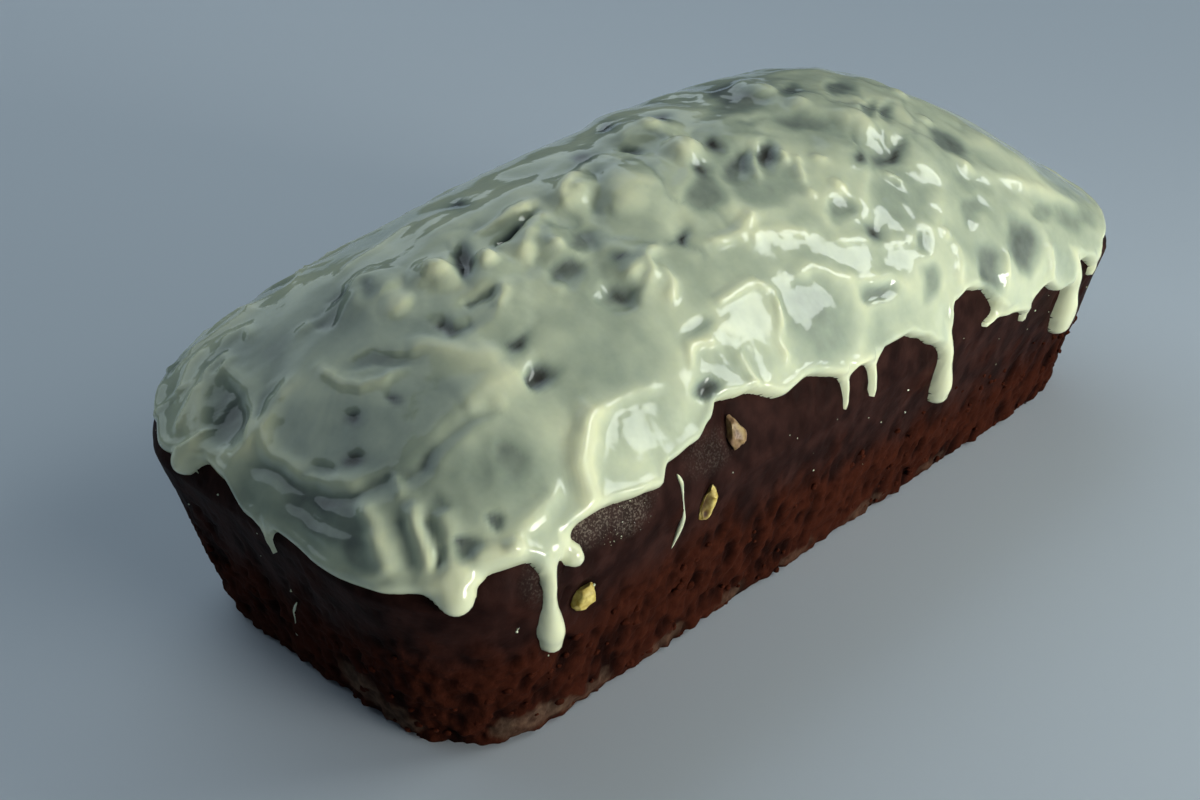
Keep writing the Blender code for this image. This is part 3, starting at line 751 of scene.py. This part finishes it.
class Coat:
    """The coat's thickness at each point, and the seeming thickness that its tint follows, in millimetres;
    the tint also carries painted shade, painted highlights and the drips' painted glow.
    """

    def __init__(self, base, normals, around, up):
        self.face = base + normals * FACE_LIFT * MM
        self.seen = Seen(self.face)
        wander = stacked(*[noise_at(base, 0.007, k * 11.0) for k in (1, 2, 3)])
        ripple = stacked(*[noise_at(base, 0.0028, k * 7.0) for k in (1, 2, 3)])
        self.warped = self.face + (2.0 * wander + 0.7 * ripple) * MM
        self.slow = noise_at(base, 0.024, 1.0)
        self.middle = noise_at(base, 0.010, 6.0)
        runs = noise_at(stacked(around, up * 7.5, 0.0), 3.6, 2.0) * ease(1.75, 1.45, up)
        self.tint = COAT + 0.7 * self.slow + 0.55 * self.middle + 0.2 * runs
        self.thick = COAT + 0.45 * self.slow + 0.4 * self.middle + 0.08 * runs
        x, y = base[..., 0] / MM, base[..., 1] / MM
        far_side = 7 + 24 * ease(-22, 8, x)
        self.bead_crest(x, y, far_side)
        first_unseen = np.minimum(far_side + 20, LAST_SEEN_Y)
        back = ease(first_unseen, first_unseen + 10, y)
        self.fold_unseen(np.maximum(back, ease(*FAR_END, x) * ease(*FAR_END_UP, up)), around, up)

    def grow(self, tint, thick):
        self.tint += tint
        self.thick += thick

    def bead_crest(self, x, y, far_side):
        """Beads and creases along the cracked ridge, and a thinner coat down the slope behind it."""
        crest = ease(*CREST_FRONT, y) * ease(far_side + 8, far_side - 3, y)
        crest = crest * ease(*CREST_NEAR, x) * ease(*CREST_FAR, x)
        back_slope = ease(far_side, far_side + 7, y) * ease(*BACK_SLOPE_FAR, x) * ease(*BACK_SLOPE_FOOT, y)
        pebbles = noise_at(self.warped, 0.0110, 17.0)
        crease = veins(self.warped, 0.0125, 21.0, 0.15) * ease(-0.3, 0.2, noise_at(self.warped, 0.015, 4.0))
        beads = crest * (0.6 * pebbles - 0.2 * crease)
        # Painted light: the tint on the back slope is lifted slightly, though the coat there is thinner
        self.tint *= 1 + 0.06 * back_slope
        self.grow(crest * (0.6 * pebbles - 0.7 * crease), beads - 0.9 * back_slope)

    def fold_unseen(self, unseen, around, up):
        """Thin spots with raised rims, and folds, on the back and the far end, which aren't seen."""
        cells = noise_at(self.warped * (1, 1, 0.7), 0.017, 31.0)
        opened = ease(0.10, 0.36, cells) * unseen
        rim = bell((cells - 0.05) / 0.06) * unseen * ease(-0.2, 0.3, self.slow + self.middle)
        fold = veins(stacked(around, 22 * up, 0.0), 13.0, 41.0, 0.16) * unseen
        self.grow(0.5 * rim + 0.5 * fold - 1.3 * opened, 0.45 * rim + 0.6 * fold**2 - 0.35 * opened)

    def add_seen(self):
        """Everything that is placed by pixels of the photograph."""
        # Painted shade: the listed spots darken the tint, partly for a thin coat and partly for shade
        for away, (*_, seeming) in self.seen.ovals(self.face, THIN_AND_SHADED_SPOTS):
            self.tint *= 1 + (seeming / COAT - 1) * ease(1.2, 0.6, away)
        # The window floors carry painted shade and painted highlights as well as the thin coat
        for away, (_, _, half_wide, half_tall, _, floor, lip) in self.seen.ovals(self.warped, THIN_WINDOWS_AND_PAINTED_LIGHT):
            self.open_window(away, min(half_wide, half_tall) * PIXEL_MM, floor, lip)
        for rise, half, pixels in RIDGES:
            line = self.seen.line(pixels)
            if len(line) > 1:
                self.add_ridge(line, rise, half)
        for across, down, radius, rise in KNOBS:
            centre, pixel = self.seen.place(across, down)
            if centre is not None:
                self.add_knob(centre, radius * pixel, rise)
        for away, _ in self.seen.ovals(self.warped, HOLES):
            share = bell(0.85 * away)
            self.grow((HOLE_TINT - self.tint) * share, -HOLE_DEPTH * share)
        self.tint = np.maximum(self.tint, LEAST_TINT)

    def open_window(self, away, width, floor, lip):
        share = ease(1.45, 0.45, away)
        rim = 0.7 * lip * bell((away - 1.3) * width / 1.8)
        self.grow((floor - self.tint) * share + rim, WINDOW_SHARE * (floor - COAT) * share + 0.6 * rim)

    def add_ridge(self, line, rise, half):
        away, along = length_to_line(self.face + 0.5 * (self.warped - self.face), line)
        taper = ease(0.0, 0.15, along) * ease(1.0, 0.85, along)
        ridge = rise * bell(away / half) * (0.3 + 0.7 * taper)
        self.grow(0.9 * ridge, RIDGE_SHARE * ridge)

    def add_knob(self, centre, radius, rise):
        away = np.linalg.norm(0.65 * self.face + 0.35 * self.warped - centre, axis=-1) / radius
        knob = rise * ease(1.35, 0.25, away)
        self.grow(0.85 * knob, KNOB_SHARE * knob)

    def add_edge(self, inside, drip_share, drip_half):
        """The broad relief, the drips, and the rounded lip along the outline; gives the face's rise."""
        relief = LUMP_SHARE * broad_relief(self.warped) * ease(0.5, 6.0, inside)
        thick = np.maximum(self.thick + relief, LEAST_COAT)
        in_drip = np.minimum(0.35 + 0.95 * drip_half, MOST_DRIP)
        thick += (in_drip - thick) * drip_share
        # Painted glow: the drips take a tint paler than their thickness gives
        self.tint += (np.maximum(in_drip + 0.6, DRIP_GLOW_TINT) - self.tint) * drip_share
        self.tint += 0.8 * bell(inside / 2.0) * (1 - drip_share)
        width = LIP_WIDTH + (np.clip(drip_half, 0.8, 3.4) - LIP_WIDTH) * drip_share
        bead = 0.55 * bell((inside - 1.5) / 1.1) * (1 - drip_share)
        part = np.clip(inside / width, 0, 1)
        return -TUCK + (thick + bead + TUCK) * np.sqrt(np.clip(1 - (1 - part) ** 2, 0, 1))


def move_to_outline(points, base, normals, inside, quads):
    """Slides the outer corners of the faces on the outline along their edges until they lie on it."""
    best = {}
    for quad in quads.tolist():
        for k in range(4):
            one, other = quad[k], quad[(k + 1) % 4]
            if inside[one] >= 0 > inside[other]:
                one, other = other, one
            if inside[one] < 0 <= inside[other]:
                part = inside[one] / (inside[one] - inside[other])
                if one not in best or part < best[one][0]:
                    best[one] = (part, other)
    for one, (part, other) in best.items():
        on_skin = base[one] + (base[other] - base[one]) * part
        points[one] = on_skin - normals[one] * TUCK * MM
        inside[one] = 0.0


def make_icing():
    columns = column_places(ICING_COLUMNS)
    around, up = np.meshgrid(columns, ICING_ROWS)
    base, normals = skin(around, up), outward(around, up)
    inside, drip_share, drip_half = coat_outline(around / MM, base[..., 2] / MM, columns / MM)
    coat = Coat(base, normals, around / MM, up)
    coat.add_seen()
    rise = coat.add_edge(inside, drip_share, drip_half)
    points = (base + normals * (rise * MM)[..., None]).reshape(-1, 3)
    inside = inside.reshape(-1)
    quads = grid_quads(*up.shape)
    crossing = (inside[quads].min(axis=1) < 0) & (inside[quads].max(axis=1) >= 0)
    move_to_outline(points, base.reshape(-1, 3), normals.reshape(-1, 3), inside, quads[crossing])
    keep = (inside[quads] >= -1e-9).all(axis=1)
    mesh = mesh_from("icing_coat", points, quads[keep].tolist())
    add_attribute(mesh, "icing_tint", coat.tint)
    weld(mesh, fill_foot=False)
    return mesh


# Finishes

class Finish:
    """A material of nodes. Its methods from attribute to bump add nodes and give what comes out of them."""

    def __init__(self, name):
        self.material = bpy.data.materials.new(name)
        self.material.use_nodes = True
        self.nodes = self.material.node_tree.nodes
        self.links = self.material.node_tree.links

    def add(self, kind, **inputs):
        """A node of that kind, with inputs named in plain words set to numbers or linked to outputs."""
        node = self.nodes.new(kind)
        for name, value in inputs.items():
            self.feed(node.inputs[name.replace("_", " ").title()], value)
        return node

    def feed(self, socket, value):
        if isinstance(value, bpy.types.NodeSocket):
            self.links.new(value, socket)
        else:
            socket.default_value = value

    def attribute(self, name):
        node = self.add("ShaderNodeAttribute")
        node.attribute_name = name
        return node.outputs["Fac"]

    def ramp(self, factor, *stops):
        node = self.add("ShaderNodeValToRGB", fac=factor)
        ramp = node.color_ramp
        while len(ramp.elements) < len(stops):
            ramp.elements.new(0.5)
        for element, (place, colour) in zip(ramp.elements, stops):
            element.position = place
            element.color = (*colour, 1)
        return node.outputs["Color"]

    def noise(self, size, detail):
        vector = self.add("ShaderNodeTexCoord").outputs["Object"]
        return self.add("ShaderNodeTexNoise", vector=vector, scale=1 / size, detail=detail).outputs["Fac"]

    def spread(self, value, low, high, to_low=0.0, to_high=1.0):
        """The value, stretched from one span to another."""
        spans = {"from_min": low, "from_max": high, "to_min": to_low, "to_max": to_high}
        return self.add("ShaderNodeMapRange", value=value, **spans).outputs["Result"]

    def mix(self, factor, first, second):
        node = self.add("ShaderNodeMix", factor=factor)
        node.data_type = "RGBA"
        for socket, value in zip([s for s in node.inputs if s.type == "RGBA"], (first, second)):
            self.feed(socket, (*value, 1) if isinstance(value, tuple) else value)
        return [s for s in node.outputs if s.type == "RGBA"][0]

    def join(self, operation, first, second):
        node = self.add("ShaderNodeMath")
        node.operation = operation
        self.feed(node.inputs[0], first)
        self.feed(node.inputs[1], second)
        return node.outputs[0]

    def bump(self, height, distance, strength, **normal):
        bumped = self.add("ShaderNodeBump", height=height, distance=distance, strength=strength, **normal)
        return bumped.outputs["Normal"]

    def shade(self, sockets):
        """Sets or links the shader's own sockets, and gives the material."""
        for name, value in sockets.items():
            self.feed(self.nodes["Principled BSDF"].inputs[name], value)
        return self.material


def icing_finish():
    finish = Finish("icing_finish")
    waver = finish.spread(finish.noise(0.006, 3.0), 0.3, 0.7, -0.25, 0.25)
    # The tint attribute is the coat's seeming thickness together with painted shade, painted highlights and a
    # painted glow
    share = finish.spread(finish.join("ADD", finish.attribute("icing_tint"), waver), 0.0, 4.0)
    colour = finish.ramp(
        share,
        (0.03, (0.020, 0.012, 0.010)),
        (0.11, (0.050, 0.052, 0.046)),
        (0.25, (0.165, 0.195, 0.170)),
        (0.45, (0.330, 0.390, 0.305)),
        (0.70, (0.545, 0.607, 0.445)),
        (1.00, (0.775, 0.805, 0.550)),
    )
    return finish.shade({
        "Base Color": colour,
        "Normal": finish.bump(finish.noise(0.0050, 2.0), 0.0003, 0.55),
        "Roughness": 0.08,
        "IOR": 1.48,
        "Subsurface Weight": 0.12,
        "Subsurface Radius": (1.0, 0.9, 0.45),
        "Subsurface Scale": 0.0010,
    })


def crumb_finish():
    finish = Finish("crumb_finish")
    torn = finish.attribute("torn")
    pit_shade = finish.attribute("pit_shade")
    frost = finish.attribute("frost")
    cloud = finish.noise(0.006, 5.0)
    band = finish.ramp(cloud, (0.34, (0.0130, 0.0045, 0.0037)), (0.66, (0.036, 0.0140, 0.0110)))
    # Painted shade: the pits on the smooth band are darkened
    band = finish.mix(finish.spread(pit_shade, 0, 1, 0, 0.7), band, (0.008, 0.0024, 0.0018))
    speck = finish.noise(0.0022, 4.0)
    opened = finish.ramp(speck, (0.3, (0.018, 0.0036, 0.0019)), (0.7, (0.052, 0.0128, 0.0062)))
    raised = finish.mix(finish.attribute("grain"), opened, (0.046, 0.0112, 0.0054))
    # Painted shade: the pits in the torn crumb are darkened
    shaded_pits = finish.mix(pit_shade, raised, (0.008, 0.0020, 0.0012))
    bare = finish.mix(torn, band, shaded_pits)
    tan = finish.ramp(speck, (0.35, (0.060, 0.036, 0.026)), (0.65, (0.150, 0.098, 0.066)))
    skinned = finish.mix(finish.spread(finish.attribute("skin"), 0, 1, 0, 0.75), bare, tan)
    film = finish.mix(finish.spread(frost, 0, 1, 0, 0.55), skinned, (0.050, 0.036, 0.031))
    grains = finish.join("MULTIPLY", finish.spread(finish.noise(0.00045, 3.0), 0.50, 0.64), frost)
    fine = finish.join("MULTIPLY", finish.noise(0.0012, 6.0), finish.spread(torn, 0, 1, 0.35, 1.0))
    rough = finish.bump(fine, 0.0006, 0.6)
    return finish.shade({
        "Base Color": finish.mix(grains, film, (0.150, 0.122, 0.100)),
        "Roughness": finish.spread(torn, 0, 1, 0.58, 0.88),
        "Normal": finish.bump(finish.noise(0.004, 4.0), 0.0004, 0.25, normal=rough),
        "Specular IOR Level": 0.035,
    })


def nut_finish():
    finish = Finish("nut_finish")
    mottle = finish.noise(0.0014, 4.0)
    yellow = finish.ramp(mottle, (0.35, (0.480, 0.340, 0.050)), (0.65, (0.780, 0.650, 0.210)))
    brown = finish.ramp(mottle, (0.35, (0.130, 0.068, 0.034)), (0.65, (0.300, 0.180, 0.095)))
    flesh = finish.mix(finish.attribute("kind"), yellow, brown)
    return finish.shade({
        "Base Color": finish.mix(finish.attribute("dent"), flesh, (0.060, 0.018, 0.008)),
        "Normal": finish.bump(finish.noise(0.0007, 4.0), 0.0002, 0.5),
        "Roughness": 0.48,
    })


# Extras

# Nut pieces: kind 0 yellow to 1 brown, lean in degrees, narrowing towards the top, seed,
# then dents in the piece's own half sizes: across, up, radius and depth
NUT_SHAPES = [
    (0.10, -12, 0.10, 5, [(0.55, -0.70, 0.45, 0.50)]),
    (0.15, -14, 0.15, 8, [(-0.75, 0.00, 0.62, 0.90), (-0.15, -0.55, 0.30, 0.35)]),
    (0.95, 10, 0.45, 3, [(-0.22, -0.80, 0.17, 0.60), (0.32, -0.75, 0.15, 0.50),
     (0.55, 0.45, 0.25, 0.30)]),
]
NUT_CUTS, NUT_CUT_LIMITS = 16, (0.70, 0.90)
# Threads of icing on the wall: radius in millimetres, then photograph pixels
THREADS = [
    (0.50, [(677, 474), (681, 483), (682.5, 495), (683, 507), (682.5, 518), (677, 533), (671, 549)]),
    (0.30, [(297, 602), (294.5, 611), (296, 624), (298, 636)]),
    (0.24, [(192, 464), (196, 469), (201, 476)]),
    (0.20, [(186, 463), (188, 468), (191, 473)]),
    (0.28, [(516, 633), (518, 628)]),
    (0.22, [(291, 589), (292, 592)]),
]
THREAD_SIDES = 10
THREAD_TINT, FLECK_TINT = 3.4, 3.0
# Scattered bits: how many, their sizes, millimetres round and high, how flat, how far out, and seed
EVERYWHERE = (0, RIM_LENGTH_MM)
FLECKS = (70, (0.18, 0.38), EVERYWHERE, (20, 46), 0.6, 0.1, 5)
CRUMBS = (420, (0.5, 1.25), EVERYWHERE, (1.2, 27), 0.7, 0.0, 6)
# Specks of icing on the rough patch under the coat's edge
ROUGH_PATCH_FLECKS = (34, (0.06, 0.16), (-84, -69), (43.5, 51), 0.7, 0.3, 7)


def wall_place(around, height):
    """A point on the loaf's skin and the directions round, up and out there, from metres round and high."""
    samples = np.linspace(0.0, 1.6, 200)
    up = np.interp(height, skin(around, samples)[:, 2], samples)
    place, out = skin(around, up), outward(around, up)
    across = skin(around + MM, up) - place
    across = across / np.linalg.norm(across)
    return place, across, np.cross(out, across), out


def ball_mesh(subdivisions):
    sheet = bmesh.new()
    bmesh.ops.create_icosphere(sheet, subdivisions=subdivisions, radius=1.0)
    points = np.array([vertex.co for vertex in sheet.verts])
    faces = [[vertex.index for vertex in face.verts] for face in sheet.faces]
    sheet.free()
    return points, faces


def make_nut(nut, shape):
    around, height, wide, tall, deep = nut
    kind, lean, narrowing, seed, dents = shape
    chance = random.Random(seed)
    points, faces = ball_mesh(5)
    for _ in range(NUT_CUTS):
        way = np.array(Vector([chance.gauss(0, 1) for _ in range(3)]).normalized())
        beyond = np.clip(points @ way - chance.uniform(*NUT_CUT_LIMITS), 0, None)
        points = points - beyond[:, None] * way * 0.9
    swell = 1 + 0.07 * noise_at(points, 0.5, seed) + 0.03 * noise_at(points, 0.17, seed)
    points = points * swell[:, None]
    points[:, 0] *= 1 - narrowing * points[:, 1]
    dent = np.zeros(len(points))
    for across, up, radius, depth in dents:
        away = np.hypot(points[:, 0] - across, points[:, 1] - up) / radius
        share = np.exp(-(away**3)) * ease(-0.1, 0.3, points[:, 2])
        points[:, 2] -= depth * share
        dent = np.maximum(dent, share)
    angle = math.radians(lean)
    across = points[:, 0] * wide / 2 * math.cos(angle) - points[:, 1] * tall / 2 * math.sin(angle)
    rise = points[:, 1] * tall / 2 * math.cos(angle) + points[:, 0] * wide / 2 * math.sin(angle)
    place, right, up, out = wall_place(around * MM, height * MM)
    offsets = np.outer(across, right) + np.outer(rise, up) + np.outer(points[:, 2] * deep / 2, out)
    mesh = mesh_from("nut", place + offsets * MM, faces)
    add_attribute(mesh, "kind", np.clip(kind + 0.25 * noise_at(points, 0.6, 3.0), 0, 1))
    add_attribute(mesh, "dent", dent)
    return mesh


def wall_out(place):
    """Outward direction of the wall near a point on it, level with the floor."""
    inner_x = np.clip(place[0], FOOT["near"] + 0.03, FOOT["far"] - 0.03)
    inner_y = np.clip(place[1], -0.02, 0.02)
    away = np.array([place[0] - inner_x, place[1] - inner_y, 0.0])
    return away / np.linalg.norm(away)


def thread_tube(radius, line):
    """Rows of points round a thread that wavers in size and tapers at both ends."""
    steps = np.linspace(0, len(line) - 1, 6 * len(line))
    path = stacked(*[np.interp(steps, np.arange(len(line)), line[:, k]) for k in range(3)])
    for _ in range(3):
        path[1:-1] = (path[:-2] + 2 * path[1:-1] + path[2:]) / 4
    way = np.gradient(path, axis=0)
    way = way / np.linalg.norm(way, axis=1, keepdims=True)
    out = np.array([wall_out(place) for place in path])
    side = np.cross(way, out)
    share = np.linspace(0, 1, len(path))
    waver = 0.75 + 0.35 * np.sin(9 * share + radius * 40)
    taper = np.sqrt(np.clip(1 - np.abs(2 * share - 1) ** 6, 0.01, 1))
    size = (radius * MM * waver * taper)[:, None, None]
    turn = 2 * math.pi * np.arange(THREAD_SIDES)[:, None] / THREAD_SIDES
    return path[:, None] + size * (side[:, None] * np.cos(turn) + out[:, None] * (0.45 + np.sin(turn)))


def make_threads():
    around, up = np.meshgrid(column_places(ICING_COLUMNS), np.linspace(0.05, 1.5, 90))
    wall = Seen(skin(around, up))
    points, faces = np.empty((0, 3)), []
    for radius, pixels in THREADS:
        tube = thread_tube(radius, np.array(wall.line(pixels)))
        first, last = len(points), len(points) + tube.size // 3 - THREAD_SIDES
        faces += (grid_quads(len(tube), THREAD_SIDES) + first).tolist()
        faces.append([first + side for side in reversed(range(THREAD_SIDES))])
        faces.append([last + side for side in range(THREAD_SIDES)])
        points = np.concatenate([points, tube.reshape(-1, 3)])
    mesh = mesh_from("threads", points, faces)
    add_attribute(mesh, "icing_tint", THREAD_TINT)
    return mesh


def scatter(ball, count, sizes, reach, heights, squash, lift, seed):
    """Points of small uneven bits on the wall, seeded; each is a dented ball half sunk in the skin."""
    chance = random.Random(seed)
    for index in range(count):
        around = chance.uniform(*reach) * MM
        height = heights[0] + (heights[1] - heights[0]) * chance.random() ** 1.3
        size = chance.uniform(*sizes) * (0.6 + 0.4 * chance.random())
        place, right, up, out = wall_place(around, height * MM)
        swell = 1 + 0.35 * noise_at(ball, 0.8, index * 3.7) + 0.2 * noise_at(ball, 0.35, index)
        body = ball * swell[:, None]
        turn = chance.uniform(0, math.pi)
        across = (body[:, 0] * math.cos(turn) - body[:, 1] * math.sin(turn)) * size
        along = (body[:, 0] * math.sin(turn) + body[:, 1] * math.cos(turn)) * size * chance.uniform(0.6, 1.0)
        rise = body[:, 2] * size * squash + lift * size
        yield place + (np.outer(across, right) + np.outer(along, up) + np.outer(rise, out)) * MM


def make_bits(name, *kinds):
    """One mesh of all the bits of some kinds, and its points."""
    ball, faces = ball_mesh(2)
    bits = [bit for kind in kinds for bit in scatter(ball, *kind)]
    starts = range(0, len(bits) * len(ball), len(ball))
    points = np.concatenate(bits)
    all_faces = [[start + corner for corner in face] for start in starts for face in faces]
    return mesh_from(name, points, all_faces), points


def make_flecks():
    mesh, _ = make_bits("flecks", FLECKS, ROUGH_PATCH_FLECKS)
    add_attribute(mesh, "icing_tint", FLECK_TINT)
    return mesh


def make_crumbs():
    mesh, points = make_bits("crumbs", CRUMBS)
    add_attribute(mesh, "torn", 1.0)
    add_attribute(mesh, "grain", 0.5 + 0.4 * noise_at(points, 0.002))
    return mesh


crumb = crumb_finish()
icing = icing_finish()
nut = nut_finish()
loaf_piece = piece("loaf_body", make_loaf(), crumb)
icing_piece = piece("icing_coat", make_icing(), icing)
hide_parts("loaf")
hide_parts("icing")
for number, (placed, shape) in enumerate(zip(NUTS, NUT_SHAPES)):
    piece(f"nut_piece_{number + 1}", make_nut(placed, shape), nut)
piece("icing_threads", make_threads(), icing)
piece("icing_flecks", make_flecks(), icing)
piece("clinging_crumbs", make_crumbs(), crumb)


# Camera, floor and light

# Lamps: place, width, height, power in watts, spread in degrees and colour
LAMPS = [
    ((0.82, -0.62, 0.76), 0.50, 0.38, 3.4, 180, (0.94, 1.0, 0.95)),
    ((0.60, -1.50, 0.66), 2.20, 1.10, 2.7, 180, (0.98, 1.0, 0.93)),
    ((0.10, -0.63, 0.12), 0.46, 0.14, 0.46, 55, (1.0, 1.0, 0.92)),
    ((0.20, 1.60, 1.50), 3.60, 2.40, 23.0, 180, (0.78, 0.92, 1.0)),
]
LAMP_TARGET = Vector((0.0, 0.0, 0.05))
ROOM_COLOUR, ROOM_STRENGTH = (0.40, 0.48, 0.58, 1), 0.11
FLOOR_COLOUR, FLOOR_HALF_SIZE = (0.62, 0.69, 0.77, 1), 8.0


def add_camera():
    data = bpy.data.cameras.new("camera")
    data.lens = CAMERA_LENS
    data.sensor_width = SENSOR_WIDTH
    data.sensor_fit = "HORIZONTAL"
    data.clip_start = 0.01
    camera = new_object("camera", data)
    camera.matrix_world = camera_turn().to_4x4()
    camera.location = CAMERA_PLACE
    bpy.context.scene.camera = camera


def add_floor():
    corners = FLOOR_HALF_SIZE * np.array([(-1, -1, 0), (1, -1, 0), (1, 1, 0), (-1, 1, 0)])
    floor = new_object("floor", mesh_from("floor", corners, [(0, 1, 2, 3)]))
    finish = Finish("floor_finish").shade({"Base Color": FLOOR_COLOUR, "Roughness": 0.7})
    floor.data.materials.append(finish)


def add_lamp(place, width, height, power, spread, colour):
    data = bpy.data.lights.new("window", "AREA")
    data.shape = "RECTANGLE"
    data.size = width
    data.size_y = height
    data.energy = power
    data.spread = math.radians(spread)
    data.color = colour
    lamp = new_object("window", data)
    lamp.location = place
    lamp.rotation_mode = "QUATERNION"
    lamp.rotation_quaternion = (LAMP_TARGET - Vector(place)).to_track_quat("-Z", "Y")
    lamp.visible_camera = False


def add_room():
    world = bpy.data.worlds.new("room")
    world.use_nodes = True
    backdrop = world.node_tree.nodes["Background"]
    backdrop.inputs["Color"].default_value = ROOM_COLOUR
    backdrop.inputs["Strength"].default_value = ROOM_STRENGTH
    bpy.context.scene.world = world
    bpy.context.scene.view_settings.view_transform = "Standard"


add_camera()
add_floor()
for lamp_row in LAMPS:
    add_lamp(*lamp_row)
add_room()
